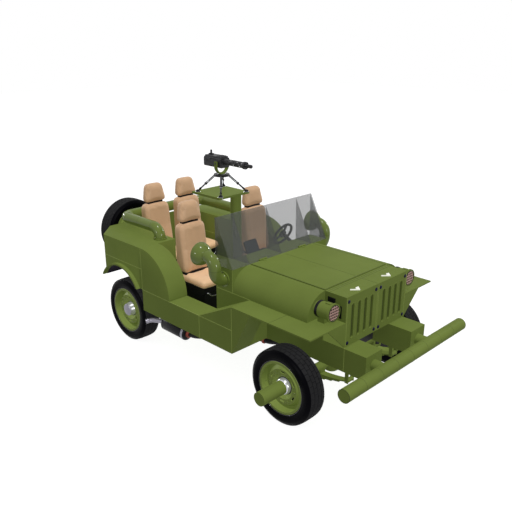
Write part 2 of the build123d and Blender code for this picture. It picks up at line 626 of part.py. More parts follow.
def gun_stand():
    """Four splayed legs on round feet under a round head."""
    head = rod((STAND_X, 0, HEAD_BOTTOM_Z), (STAND_X, 0, HEAD_BOTTOM_Z + HEAD_WALL), HEAD_RADIUS)
    for side_x in (1, -1):
        for side_y in (1, -1):
            foot = (STAND_X + side_x * FOOT_SPREAD, side_y * FOOT_SPREAD, PLATFORM_TOP_Z)
            ankle = (foot[0], foot[1], PLATFORM_TOP_Z + FOOT_HEIGHT)
            hip = (STAND_X + side_x * LEG_TOP_SPREAD, side_y * LEG_TOP_SPREAD, HEAD_BOTTOM_Z + HEAD_WALL / 2)
            knee = tuple(h + LEG_SPLIT * (a - h) for a, h in zip(ankle, hip))
            collar = tuple(k + (a - k) / 8 for a, k in zip(ankle, knee))
            head += rod(foot, ankle, FOOT_RADIUS)
            head += rod(ankle, hip, LEG_ROD_RADIUS) + rod(knee, hip, LEG_RADIUS)
            head += rod(collar, knee, LEG_RADIUS + LEG_ROD_RADIUS / 2)
            head += Pos(*ankle) * Sphere(FOOT_HEIGHT)
    return head


def gun_cradle():
    """U-shaped cradle that swings on the stand's head and holds the trunnions."""
    inner = RECEIVER_HALF_WIDTH + CRADLE_GAP
    outer = inner + CRADLE_WALL
    floor_z = HEAD_BOTTOM_Z + HEAD_WALL + SEAT_GAP
    bend_z = floor_z + outer
    arms = cross_prism([(-outer, bend_z), (outer, bend_z), (outer, TRUNNION_Z + 2 * TRUNNION_RADIUS),
                        (-outer, TRUNNION_Z + 2 * TRUNNION_RADIUS)],
                       (STAND_X - CRADLE_HALF_LENGTH, STAND_X + CRADLE_HALF_LENGTH))
    bend = Pos(STAND_X, 0, bend_z) * Rot(0, 90, 0) * Cylinder(outer, 2 * CRADLE_HALF_LENGTH)
    bend &= block((STAND_X - CRADLE_HALF_LENGTH, STAND_X + CRADLE_HALF_LENGTH), (-outer, outer),
                  (floor_z, bend_z))
    hollow = Pos(STAND_X, 0, bend_z) * Rot(0, 90, 0) * Cylinder(inner, 4 * CRADLE_HALF_LENGTH)
    hollow += block((STAND_X - 2 * CRADLE_HALF_LENGTH, STAND_X + 2 * CRADLE_HALF_LENGTH), (-inner, inner),
                    (bend_z, TRUNNION_Z + 3 * TRUNNION_RADIUS))
    swivel = rod((STAND_X, 0, floor_z), (STAND_X, 0, floor_z + CRADLE_WALL), SWIVEL_RADIUS)
    bore = rod((STAND_X, -2 * outer, TRUNNION_Z), (STAND_X, 2 * outer, TRUNNION_Z),
               TRUNNION_RADIUS + SPINDLE_CLEARANCE)
    return (arms + bend - hollow - bore) + swivel


def gun_jacket():
    """Pierced jacket about X with a flared front end, round a plain barrel."""
    rear, front = RECEIVER_FRONT_X - PANEL, JACKET_FRONT_X
    outer, wide = JACKET_RADIUS, JACKET_RADIUS + JACKET_FLARE
    jacket = turned([
        (rear, outer - JACKET_WALL), (rear, outer), (front - FLARE_LENGTH, outer),
        (front - FLARE_LENGTH / 2, wide), (front, wide), (front, MUZZLE_RADIUS - 1),
        (front - PANEL, MUZZLE_RADIUS - 1),
        (front - PANEL, outer - JACKET_WALL)], y_axis=False)
    for row in range(VENT_ROWS):
        station = front - FLARE_LENGTH - (row + 0.5) * VENT_PITCH
        for index in range(VENT_COUNT):
            angle = 180 * (index + 0.5 * (row % 2)) / VENT_COUNT
            jacket -= Pos(station, 0, 0) * Rot(angle, 0, 0) * Cylinder(VENT_RADIUS, 3 * outer)
    barrel = rod((rear, 0, 0), (front - PANEL / 2, 0, 0), BARREL_RADIUS)
    tip = rod((front - PANEL, 0, 0), (MUZZLE_X, 0, 0), MUZZLE_RADIUS)
    tip = chamfer(tip.edges().group_by(Axis.X)[-1], MUZZLE_RADIUS / 3)
    return jacket + barrel + tip


def gun():
    """Inert outside shape: receiver with its ribbed cover, jacket, muzzle and sights."""
    outer = RECEIVER_HALF_WIDTH + CRADLE_GAP + CRADLE_WALL
    half = RECEIVER_HALF_WIDTH
    cover_z = RECEIVER_TOP_Z - COVER_HEIGHT
    body = block((RECEIVER_REAR_X, RECEIVER_FRONT_X), (-half, half), (RECEIVER_BOTTOM_Z, cover_z))
    body = fillet(body.edges().filter_by(Axis.X), RECEIVER_EDGE)
    cover = block((RECEIVER_REAR_X + COVER_INSET, RECEIVER_FRONT_X - COVER_INSET),
                  (COVER_INSET - half, half - COVER_INSET), (cover_z - RECEIVER_EDGE, RECEIVER_TOP_Z))
    body += chamfer(cover.edges().group_by(Axis.Z)[-1], COVER_HEIGHT / 3)
    recess = Plane.XZ * SlotOverall(RECESS_LENGTH, RECESS_WIDTH)
    middle_x = RECEIVER_REAR_X + RECESS_LENGTH
    middle_z = (RECEIVER_BOTTOM_Z + cover_z) / 2 + RECESS_WIDTH / 2
    for side in (1, -1):
        cutter = extrude(recess, amount=-side * 2 * RECESS_DEPTH)
        body -= Pos(middle_x, side * (half - RECESS_DEPTH), middle_z) * cutter
    for index in range(COVER_RIBS):
        rib_x = RECEIVER_FRONT_X - 3 * COVER_INSET - index * 3 * COVER_INSET
        body += block((rib_x - COVER_INSET, rib_x), (2 * COVER_INSET - half, half - 2 * COVER_INSET),
                      (RECEIVER_TOP_Z - 1, RECEIVER_TOP_Z + COVER_INSET / 2))
    body += Pos(0, 0, BORE_LINE_Z) * gun_jacket()
    body += rod((STAND_X, -outer, TRUNNION_Z), (STAND_X, outer, TRUNNION_Z), TRUNNION_RADIUS)
    sight_x = RECEIVER_REAR_X + SIGHT_INSET
    body += block((sight_x - SIGHT_FOOT, sight_x + SIGHT_FOOT), (-SIGHT_FOOT * 0.75, SIGHT_FOOT * 0.75),
                  (RECEIVER_TOP_Z - 1, RECEIVER_TOP_Z + SIGHT_FOOT / 2))
    leaf_half = SIGHT_FOOT / 3
    body += block((sight_x - leaf_half, sight_x + leaf_half), (-leaf_half, leaf_half),
                  (RECEIVER_TOP_Z, RECEIVER_TOP_Z + SIGHT_HEIGHT))
    return body


def seat_cushion(shift, y):
    """One flat cushion, as a plain soft solid."""
    x = (CUSHION_REAR_X + shift, CUSHION_FRONT_X + shift)
    pad = block(x, (y - SEAT_WIDTH / 2, y + SEAT_WIDTH / 2), (CUSHION_BOTTOM_Z, CUSHION_TOP_Z))
    return fillet(pad.edges().filter_by(Axis.Z, reverse=True), SEAT_SOFT_EDGE)


def seat_back(shift, y):
    """One leaning back and the headrest above it, as plain soft solids."""
    foot_z = CUSHION_TOP_Z + SEAT_GAP
    back = side_prism([
        (BACK_FOOT_X + shift, foot_z), (BACK_HEAD_X + shift, BACK_TOP_Z),
        (BACK_REAR_X + shift + PANEL, BACK_TOP_Z), (BACK_REAR_X + shift, foot_z)],
        (y - SEAT_WIDTH / 2, y + SEAT_WIDTH / 2))
    half = SEAT_WIDTH / 2
    front = Plane.YZ * make_face(
        Line((-half, foot_z), (half, foot_z)) + Line((half, foot_z), (half, BACK_TOP_Z - BACK_ARCH))
        + ThreePointArc((half, BACK_TOP_Z - BACK_ARCH), (0, BACK_TOP_Z), (-half, BACK_TOP_Z - BACK_ARCH))
        + Line((-half, BACK_TOP_Z - BACK_ARCH), (-half, foot_z)))
    back &= Pos(BACK_REAR_X + shift, y, 0) * extrude(front, amount=BACK_FOOT_X - BACK_REAR_X)
    back = fillet(back.edges().group_by(Axis.Z)[-1], SEAT_SOFT_EDGE)
    head = side_prism([
        (BACK_HEAD_X + shift, HEADREST_BOTTOM_Z), (BACK_HEAD_X + shift - 2 * PANEL, HEADREST_TOP_Z),
        (BACK_REAR_X + shift + PANEL, HEADREST_TOP_Z), (BACK_REAR_X + shift + PANEL, HEADREST_BOTTOM_Z)],
        (y - HEADREST_WIDTH / 2, y + HEADREST_WIDTH / 2))
    head &= cross_prism([
        (y - HEADREST_WIDTH / 2, HEADREST_BOTTOM_Z), (y + HEADREST_WIDTH / 2, HEADREST_BOTTOM_Z),
        (y + HEADREST_TOP_WIDTH / 2, HEADREST_TOP_Z), (y - HEADREST_TOP_WIDTH / 2, HEADREST_TOP_Z)],
        (BACK_REAR_X + shift, BACK_FOOT_X + shift))
    head = fillet(head.edges().group_by(Axis.Z)[-1], SEAT_SOFT_EDGE)
    post_x = (BACK_HEAD_X + BACK_REAR_X) / 2 + shift
    posts = Part()
    for side in (1, -1):
        posts += rod((post_x, y + side * HEADREST_WIDTH / 4, BACK_TOP_Z - PANEL),
                     (post_x, y + side * HEADREST_WIDTH / 4, HEADREST_BOTTOM_Z + PANEL), PANEL)
    return back + posts + head


def seat_base(shift, y, floor_z):
    """Black pan under one seat, on two runners and a narrower pedestal."""
    x = (CUSHION_REAR_X + shift + 2 * PANEL, CUSHION_FRONT_X + shift - 2 * PANEL)
    half = SEAT_WIDTH / 2 - PANEL
    top = CUSHION_BOTTOM_Z - SEAT_GAP
    pan = block(x, (y - half, y + half), (top - PAN_DEPTH, top))
    pan = chamfer(pan.edges().group_by(Axis.Z)[0].filter_by(Axis.Y), PAN_DEPTH / 3)
    base = pan + block((x[0] + PEDESTAL_INSET, x[1] - PEDESTAL_INSET),
                       (y - half + PEDESTAL_INSET, y + half - PEDESTAL_INSET), (floor_z, top - PAN_DEPTH / 2))
    for side in (1, -1):
        middle = y + side * (half - PEDESTAL_INSET + RUNNER_WIDTH / 2)
        base += block(x, (middle - RUNNER_WIDTH / 2, middle + RUNNER_WIDTH / 2),
                      (top - PAN_DEPTH - RUNNER_DEPTH, top - PAN_DEPTH / 2))
    return base + block((x[0] + PEDESTAL_INSET / 2, x[1] - PEDESTAL_INSET / 2), (y - half, y + half),
                        (floor_z, floor_z + PANEL))


def steering_column():
    """Tilted column from the dash to the steering wheel, with its boss."""
    direction = (cos(radians(COLUMN_TILT)), 0, -sin(radians(COLUMN_TILT)))
    hub_end = STEERING_RIM + SEAT_GAP
    start = (STEERING_X + hub_end * direction[0], STEERING_Y, STEERING_Z + hub_end * direction[2])
    length = (PANEL / 2 - start[0]) / direction[0]
    end = tuple(s + length * d for s, d in zip(start, direction))
    boss_start = tuple(e - 3 * PANEL * d for e, d in zip(end, direction))
    return (rod(start, end, COLUMN_RADIUS) + rod(boss_start, end, 2 * COLUMN_RADIUS)) - block(
        (0, COWL_FRONT_X), (0, BODY_HALF_WIDTH), (PLATE_TOP_Z, DECK_TOP_Z))


def steering_wheel():
    """Rim, hub and three flat spokes."""
    wheel = Torus(STEERING_RADIUS - STEERING_RIM, STEERING_RIM)
    wheel += Cylinder(3 * STEERING_RIM, 2 * STEERING_RIM)
    for angle in (90, 210, 330):
        spoke = block((2 * STEERING_RIM, STEERING_RADIUS - STEERING_RIM), (-STEERING_RIM, STEERING_RIM),
                      (-STEERING_RIM / 2, STEERING_RIM / 2))
        wheel += Rot(0, 0, angle) * spoke
    axis = Vector(cos(radians(COLUMN_TILT)), 0, -sin(radians(COLUMN_TILT)))
    return Plane(origin=(STEERING_X, STEERING_Y, STEERING_Z), x_dir=(0, 1, 0), z_dir=axis) * wheel


def dash_display():
    """Small dark instrument panel, raked like the glass, on the dash."""
    panel = block((-DISPLAY_WALL, 0), (-DISPLAY_WIDTH / 2, DISPLAY_WIDTH / 2), (0, DISPLAY_HEIGHT))
    panel = Pos(-SEAT_GAP, DISPLAY_Y, DECK_TOP_Z - PANEL * 4) * Rot(0, -26.6, 0) * panel
    stalk = block((-2 * PANEL, -SEAT_GAP), (DISPLAY_Y - 2 * PANEL, DISPLAY_Y + 2 * PANEL),
                  (DECK_TOP_Z - 6 * PANEL, DECK_TOP_Z - PANEL))
    return panel + stalk


def headlamp():
    """Left lamp: hollow can with a reflector bowl and bulb, wire guard, and the bracket to the nose."""
    open_radius = LAMP_RADIUS - LAMP_WALL
    can = rod((LAMP_REAR_X, LAMP_Y, LAMP_Z), (LAMP_FRONT_X, LAMP_Y, LAMP_Z), LAMP_RADIUS)
    can += rod((LAMP_FRONT_X - LAMP_RIM_WALL, LAMP_Y, LAMP_Z), (LAMP_FRONT_X, LAMP_Y, LAMP_Z),
               LAMP_RIM_RADIUS)
    can = fillet(can.edges().group_by(Axis.X)[0], 4 * LAMP_WALL)
    bowl = revolve(Plane.XZ * make_face(Line((-BOWL_DEPTH, 0), (1, 0)) + Line((1, 0), (1, open_radius))
                   + Line((1, open_radius), (0, open_radius))
                   + RadiusArc((0, open_radius), (-BOWL_DEPTH, BOWL_END_RADIUS), -2 * BOWL_DEPTH)
                   + Line((-BOWL_DEPTH, BOWL_END_RADIUS), (-BOWL_DEPTH, 0))), Axis.X)
    can -= Pos(LAMP_FRONT_X, LAMP_Y, LAMP_Z) * bowl
    can += rod((LAMP_FRONT_X - BOWL_DEPTH - 1, LAMP_Y, LAMP_Z),
               (LAMP_FRONT_X - BOWL_DEPTH / 2, LAMP_Y, LAMP_Z), BULB_RADIUS)
    guard = Part()
    for index in range(GUARD_BARS):
        offset = (index - (GUARD_BARS - 1) / 2) * GUARD_PITCH
        thick = (offset - GUARD_BAR / 2, offset + GUARD_BAR / 2)
        guard += block((-GUARD_BAR, 0), thick, (-LAMP_RADIUS, LAMP_RADIUS))
        guard += block((-GUARD_BAR, 0), (-LAMP_RADIUS, LAMP_RADIUS), thick)
    guard &= Rot(0, 90, 0) * Cylinder(open_radius + 1, 3 * GUARD_BAR)
    can += Pos(LAMP_FRONT_X, LAMP_Y, LAMP_Z) * guard
    bracket_x = (LAMP_REAR_X + 2 * PANEL, LAMP_FRONT_X - BOWL_DEPTH - PANEL)
    bracket = block(bracket_x, (HOOD_HALF_WIDTH, LAMP_Y - LAMP_RADIUS + LAMP_WALL),
                    (LAMP_Z - 2 * PANEL, LAMP_Z + 2 * PANEL))
    foot = block(bracket_x, (LAMP_Y - 2 * PANEL, LAMP_Y + 2 * PANEL),
                 (PLATE_TOP_Z, LAMP_Z - LAMP_RADIUS + LAMP_WALL))
    return can + bracket + foot


# ---- running gear ----
def rim():
    """Rim barrel and dished disc about Y, outer side towards +Y."""
    half = RIM_WIDTH / 2
    seat = RIM_RADIUS
    inner = RIM_RADIUS - RIM_WALL
    flange = RIM_RADIUS + FLANGE_HEIGHT
    shell = turned([
        (-half, flange), (-half, inner), (half, inner), (half, flange), (half - RIM_WALL, flange),
        (half - RIM_WALL, seat), (RIM_WALL - half, seat), (RIM_WALL - half, flange)])
    face, ring, edge = DISC_FACE, DISC_FACE + DISH_RISE, DISC_FACE - DISH_DROP
    ring_outer = DISH_RING_RADIUS + DISH_RING_WIDTH
    slant = DISC_WALL / 3
    disc = turned([
        (face, HUB_BORE), (face, DISH_HUB_RADIUS), (ring, DISH_RING_RADIUS), (ring, ring_outer),
        (edge, DISH_EDGE_RADIUS), (edge, inner + slant), (edge + DISC_WALL, inner + slant),
        (edge + DISC_WALL, DISH_EDGE_RADIUS + slant), (ring + DISC_WALL, ring_outer + slant),
        (ring + DISC_WALL, DISH_RING_RADIUS - slant), (face + DISC_WALL, DISH_HUB_RADIUS - slant),
        (face + DISC_WALL, HUB_BORE)])
    oval = Plane.XZ.offset(-face) * SlotOverall(HAND_SLOT_LENGTH, HAND_SLOT_WIDTH)
    oval = extrude(oval, amount=-2 * DISH_RISE)
    middle = DISH_RING_RADIUS + DISH_RING_WIDTH / 2
    for index in range(HAND_SLOTS):
        disc -= Rot(0, 360 * index / HAND_SLOTS, 0) * Pos(0, 0, middle) * oval
    return shell + disc


def hub(reach):
    """Closed hub on the outside of a wheel's disc, bored for the end of the spindle."""
    start = DISC_FACE + DISC_WALL
    bar = rod((0, start, 0), (0, reach, 0), HUB_STUB_RADIUS)
    return bar - rod((0, start, 0), (0, start + 2 * DISC_WALL, 0), HUB_BORE)


def tyre():
    """Plain tyre section about Y with round shoulders, out to the tread blocks."""
    half = TYRE_WIDTH / 2
    bead = RIM_RADIUS + SEAT_GAP
    rim_half = RIM_WIDTH / 2 - RIM_WALL - SEAT_GAP
    return turned([
        (-rim_half, bead), (rim_half, bead), (rim_half, bead + FLANGE_HEIGHT + 2), (half - 6, bead + 22),
        (half, bead + 50), (half, TYRE_RADIUS - 34), (half - 12, TYRE_RADIUS - 12), (half - 36, TYRE_RADIUS),
        (36 - half, TYRE_RADIUS), (12 - half, TYRE_RADIUS - 12), (-half, TYRE_RADIUS - 34),
        (-half, bead + 50), (6 - half, bead + 22), (-rim_half, bead + FLANGE_HEIGHT + 2)])


def spindle(start_y):
    """Left drum and spindle about Y, from the given Y out to the wheel's disc."""
    disc_y = TYRE_CENTRE_Y + DISC_FACE
    drum = rod((0, start_y, 0), (0, disc_y - 2 * PANEL, 0), DRUM_RADIUS)
    return drum + rod((0, start_y, 0), (0, disc_y + 2 * DISC_WALL, 0), HUB_BORE - SPINDLE_CLEARANCE)


def knuckle():
    """Left steering knuckle about the kingpin's crossing with the axle line."""
    swivel = Pos(0, KINGPIN_Y, 0) * Cylinder(SWIVEL_HUB_RADIUS, 2 * (FORK_INNER - SEAT_GAP))
    arm = block((-STEER_ARM_LENGTH, 0), (KINGPIN_Y - STEER_ARM_HALF_WIDTH, KINGPIN_Y + STEER_ARM_HALF_WIDTH),
                STEER_ARM_Z)
    neck = rod((0, KINGPIN_Y, 0), (0, KINGPIN_Y + NECK_LENGTH, 0), NECK_RADIUS)
    end = (-STEER_ARM_LENGTH, KINGPIN_Y)
    boss = rod((*end, STEER_ARM_Z[0]), (*end, STEER_ARM_Z[1]), TIE_EYE_RADIUS)
    pin_end = TIE_ROD_Z - TIE_EYE_HALF_HEIGHT - SEAT_GAP
    pin = rod((*end, STEER_ARM_Z[0]), (*end, pin_end - TIE_NUT_HEIGHT), TIE_PIN_RADIUS)
    nut = rod((*end, pin_end), (*end, pin_end - TIE_NUT_HEIGHT), TIE_NUT_RADIUS)
    return swivel + neck + arm + boss + pin + nut + spindle(KINGPIN_Y + DRUM_START)


def tie_rod():
    """Rod between the two steering arms, with an eye round the pin at each end."""
    bar = rod((0, -KINGPIN_Y, 0), (0, KINGPIN_Y, 0), TIE_ROD_RADIUS)
    for side in (1, -1):
        bar += Pos(0, side * KINGPIN_Y, 0) * Cylinder(TIE_EYE_RADIUS, 2 * TIE_EYE_HALF_HEIGHT)
    for side in (1, -1):
        bore = Cylinder(TIE_PIN_RADIUS + SPINDLE_CLEARANCE, 4 * TIE_EYE_HALF_HEIGHT)
        bar -= Pos(0, side * KINGPIN_Y, 0) * bore
    return Pos(FRONT_AXLE_X - STEER_ARM_LENGTH, 0, AXLE_Z + TIE_ROD_Z) * bar


def differential(toward):
    """Round differential with its pinion housing, toward the transfer case."""
    pinion = rod((0, DIFF_Y, 0), (toward * PINION_REACH, DIFF_Y, 0), PINION_RADIUS)
    return Pos(0, DIFF_Y, 0) * Sphere(DIFF_RADIUS) + pinion


def front_axle():
    """Tube, offset differential and a fork round each kingpin."""
    tube_end = KINGPIN_Y - AXLE_END_GAP
    fork_outer = FORK_INNER + FORK_WALL
    fork_x = (-FORK_HALF_LENGTH, FORK_HALF_LENGTH)
    tube = rod((0, -tube_end, 0), (0, tube_end, 0), AXLE_TUBE) + differential(-1)
    for side in (1, -1):
        for ear_z in ((FORK_INNER, fork_outer), (-fork_outer, -FORK_INNER)):
            tube += on_side(block(fork_x, (tube_end - FORK_WALL, KINGPIN_Y + FORK_REACH), ear_z), side)
        bridge = block(fork_x, (tube_end - 1.5 * FORK_WALL, tube_end), (-fork_outer, fork_outer))
        tube += on_side(bridge, side)
    return Pos(FRONT_AXLE_X, 0, AXLE_Z) * tube


def rear_axle():
    """Tube, offset differential, drums and spindles."""
    start = TYRE_CENTRE_Y - TYRE_WIDTH / 2
    tube = rod((0, -start, 0), (0, start, 0), AXLE_TUBE) + differential(1)
    for side in (1, -1):
        tube += on_side(spindle(start - 10), side)
    return Pos(REAR_AXLE_X, 0, AXLE_Z) * tube


def leaf(half, middle_z, radius):
    """One arched leaf in the X-Z plane, lowest at its middle."""
    centre_z = middle_z + radius
    ends = [(side * half, centre_z - sqrt(r ** 2 - half ** 2)) for side, r in
            ((-1, radius), (1, radius), (1, radius + LEAF_WALL), (-1, radius + LEAF_WALL))]
    edges = (ThreePointArc(ends[0], (0, middle_z), ends[1]) + Line(ends[1], ends[2])
             + ThreePointArc(ends[2], (0, middle_z - LEAF_WALL), ends[3]) + Line(ends[3], ends[0]))
    return side_solid(edges, (-LEAF_WIDTH / 2, LEAF_WIDTH / 2))


def leaf_spring(station, rail_z):
    """One left-hand pack of arched leaves with its eyes, shackles and saddle."""
    half = LEAF_HALF_LENGTHS[0]
    radius = (half ** 2 + LEAF_RISE ** 2) / (2 * LEAF_RISE)
    top = AXLE_Z - AXLE_TUBE - SEAT_GAP
    pack = Part()
    for index, reach in enumerate(LEAF_HALF_LENGTHS):
        pack += leaf(reach, top - index * LEAF_WALL, radius + index * LEAF_WALL)
    eye_z = top + LEAF_RISE
    for end in (1, -1):
        eye_x = end * half
        pack += rod((eye_x, -LEAF_WIDTH / 2, eye_z), (eye_x, LEAF_WIDTH / 2, eye_z), EYE_RADIUS)
        for side in (1, -1):
            y = sorted((side * LEAF_WIDTH / 2, side * (LEAF_WIDTH / 2 + LEAF_WALL)))
            pack += block((eye_x - SHACKLE_HALF_WIDTH, eye_x + SHACKLE_HALF_WIDTH), y,
                          (eye_z - EYE_RADIUS, rail_z))
    low = top - len(LEAF_HALF_LENGTHS) * LEAF_WALL
    saddle = block((-SADDLE_HALF_LENGTH, SADDLE_HALF_LENGTH), (-LEAF_WIDTH / 2, LEAF_WIDTH / 2),
                   (low - SADDLE_WALL, AXLE_Z))
    saddle -= rod((0, -LEAF_WIDTH, AXLE_Z), (0, LEAF_WIDTH, AXLE_Z), AXLE_TUBE + SEAT_GAP)
    return Pos(station, RAIL_MID_Y, 0) * (pack + saddle)


def leaf_springs():
    """Four leaf packs under the axles, hung from the rails."""
    springs = []
    for station, rail_z in ((FRONT_AXLE_X, RAIL_BOTTOM_Z), (REAR_AXLE_X, SILL_BOTTOM_Z - SILL_RAIL_DEPTH)):
        spring = leaf_spring(station, rail_z)
        springs += [spring, mirror(spring, about=Plane.XZ)]
    return Compound(springs)


def exhaust():
    """Silencer under the right side, with front pipe and tail pipe."""
    rear, front = SILENCER_X
    y, z = SILENCER_Y, SILENCER_Z
    silencer = rod((rear, y, z), (front, y, z), SILENCER_RADIUS)
    front_pipe = rod((front, y, z), (PIPE_FRONT_X, y, z), PIPE_RADIUS)
    tail_pipe = rod((rear, y, z), (PIPE_REAR_X, y, z - PIPE_DROP), PIPE_RADIUS)
    hanger = block(HANGER_X, (y - HANGER_HALF_WIDTH, y + HANGER_HALF_WIDTH),
                   (z + SILENCER_RADIUS - PANEL, SILL_BOTTOM_Z))
    return silencer + front_pipe + tail_pipe + hanger


def power_unit():
    """Engine and gearbox as plain blocks, and the radiator behind the grille."""
    engine = block(ENGINE_X, (-ENGINE_HALF_WIDTH, ENGINE_HALF_WIDTH), ENGINE_Z)
    feet = block(ENGINE_FOOT_X, (-RAIL_MID_Y, RAIL_MID_Y), (RAIL_TOP_Z, RAIL_TOP_Z + ENGINE_FOOT_WALL))
    radiator = block(RADIATOR_X, (-RADIATOR_HALF_WIDTH, RADIATOR_HALF_WIDTH),
                     (RAIL_TOP_Z + SEAT_GAP, RADIATOR_TOP_Z))
    return engine + feet + radiator


def drivetrain():
    """Gearbox and transfer case under the floor, with both propeller shafts."""
    front_end = FRONT_AXLE_X - PINION_REACH - SEAT_GAP
    rear_end = REAR_AXLE_X + PINION_REACH + SEAT_GAP
    case = block(CASE_X, CASE_Y, (CASE_BOTTOM_Z, SILL_BOTTOM_Z))
    front_shaft = rod((CASE_X[1], DIFF_Y, AXLE_Z), (front_end, DIFF_Y, AXLE_Z), SHAFT_RADIUS)
    rear_shaft = rod((CASE_X[0], DIFF_Y, AXLE_Z), (rear_end, DIFF_Y, AXLE_Z), SHAFT_RADIUS)
    return case + front_shaft + rear_shaft


# ---- assembly ----
def assembly():
    """Every piece by its node's name, in body stations."""
    pieces = {
        "chassis_frame": chassis_frame(),
        "front_bumper": front_bumper(),
        "grille_panel": grille(),
        "nose_panel": nose_panel(),
        "hood_lid": hood_lid(),
        "cowl": cowl(),
        "tub_floor": tub_floor(),
        "rear_panel": rear_panel(),
        "windscreen": windscreen(),
        "hand_rail": hand_rail(),
        "gun_platform": gun_platform(),
        "gun_stand": gun_stand(),
        "gun_cradle": gun_cradle(),
        "gun": gun(),
        "seat_cushions": Compound([seat_cushion(shift, y) for shift, y, floor_z in SEATS]),
        "seat_backs": Compound([seat_back(shift, y) for shift, y, floor_z in SEATS]),
        "seat_bases": Compound([seat_base(shift, y, floor_z) for shift, y, floor_z in SEATS]),
        "front_fenders": pair(front_fender()),
        "sills": pair(sill()),
        "rear_quarters": pair(rear_quarter()),
        "mirrors": pair(mirror_arm()),
        "headlamps": pair(headlamp()),
        "dash_fittings": Compound([steering_column(), dash_display()]),
        "steering_wheel": steering_wheel(),
        "front_axle": front_axle(),
        "tie_rod": tie_rod(),
        "rear_axle": rear_axle(),
        "leaf_springs": leaf_springs(),
        "exhaust": exhaust(),
        "power_unit": power_unit(),
        "drivetrain": drivetrain(),
    }
    for name, side in SIDES:
        pieces["knuckle_" + name] = Pos(FRONT_AXLE_X, 0, AXLE_Z) * on_side(knuckle(), side)
    for name, station, side in WHEELS:
        place = Pos(station, side * TYRE_CENTRE_Y, AXLE_Z)
        if name.startswith("front"):
            pieces["rim_" + name] = place * on_side(rim(), side)
            pieces["hub_" + name] = place * on_side(hub(HUB_STUB_REACH - TYRE_CENTRE_Y), side)
        else:
            pieces["rim_" + name] = place * on_side(rim() + hub(DISC_FACE + CAP_REACH), side)
        pieces["tyre_" + name] = place * tyre()
    spare_place = Pos(SPARE_X, SPARE_Y, SPARE_Z) * Rot(0, 0, 90)
    pieces["spare_rim"] = spare_place * rim()
    pieces["spare_tyre"] = spare_place * tyre()
    return pieces


os.makedirs("parts", exist_ok=True)
for node, shape in assembly().items():
    export_step(Pos(ORIGIN_SHIFT, 0, 0) * shape, f"parts/{node}.step")
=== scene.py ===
import bpy
import bmesh
from math import asin, cos, pi, radians, sin, sqrt
from mathutils import Matrix, Vector


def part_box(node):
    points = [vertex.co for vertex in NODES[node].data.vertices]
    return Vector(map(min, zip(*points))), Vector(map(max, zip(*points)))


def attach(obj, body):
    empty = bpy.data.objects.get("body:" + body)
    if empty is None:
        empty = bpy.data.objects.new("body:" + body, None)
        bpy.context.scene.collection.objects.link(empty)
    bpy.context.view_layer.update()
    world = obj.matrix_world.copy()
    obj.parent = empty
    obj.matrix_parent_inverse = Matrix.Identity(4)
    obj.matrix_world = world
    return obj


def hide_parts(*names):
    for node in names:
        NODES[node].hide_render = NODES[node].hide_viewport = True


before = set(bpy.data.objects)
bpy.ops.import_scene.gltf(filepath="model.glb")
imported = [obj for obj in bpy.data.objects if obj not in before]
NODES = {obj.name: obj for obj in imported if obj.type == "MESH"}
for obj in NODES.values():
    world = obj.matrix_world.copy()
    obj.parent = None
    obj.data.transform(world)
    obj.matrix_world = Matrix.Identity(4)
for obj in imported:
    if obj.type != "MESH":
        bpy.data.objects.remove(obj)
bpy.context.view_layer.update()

# Lengths are in metres, in the row frame: +X forward, +Y to the vehicle's left, +Z up.
# Stations below are counted from the rear face of the cowl, as in the CAD source.
COWL_REAR_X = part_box("cowl")[0].x
SIDES = (("left", 1), ("right", -1))
AHEAD, LEFT, UP = (1, 0, 0), (0, 1, 0), (0, 0, 1)


def at(x, y, z):
    """A point given by its station, as a point in the row frame."""
    return Vector((COWL_REAR_X + x, y, z))


def station_of(node_name, end):
    """The station of a node's rear end (0) or front end (1)."""
    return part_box(node_name)[end].x - COWL_REAR_X


# ---- camera ----
CAMERA_PLACE = (3.6651, -3.7845, 2.7955)
CAMERA_YAW = 2.3577
CAMERA_PITCH = -0.3359
LENS_MM = 43.69


def make_camera():
    camera = bpy.data.objects.new("camera", bpy.data.cameras.new("camera"))
    camera.data.lens = LENS_MM
    camera.data.sensor_width = 36
    camera.data.clip_end = 200
    level = cos(CAMERA_PITCH)
    look = Vector((level * cos(CAMERA_YAW), level * sin(CAMERA_YAW), sin(CAMERA_PITCH)))
    camera.location = at(*CAMERA_PLACE)
    camera.rotation_euler = look.to_track_quat("-Z", "Y").to_euler()
    bpy.context.collection.objects.link(camera)
    bpy.context.scene.camera = camera


make_camera()


# ---- materials ----
def display(r, g, b):
    """A display colour, 0 to 255, as the linear colour that a shader takes."""
    linear = [(c / 255 / 12.92) if c < 11 else ((c / 255 + 0.055) / 1.055) ** 2.4 for c in (r, g, b)]
    return (*linear, 1.0)


MIX_A, MIX_B = 6, 7         # colour inputs of a mix node
MIX_COLOUR = 2              # its colour output


def node(tree, kind, **values):
    """A new shader node with its inputs or settings filled in by name."""
    made = tree.nodes.new(kind)
    for key, value in values.items():
        if key in made.inputs:
            made.inputs[key].default_value = value
        else:
            setattr(made, key, value)
    return made


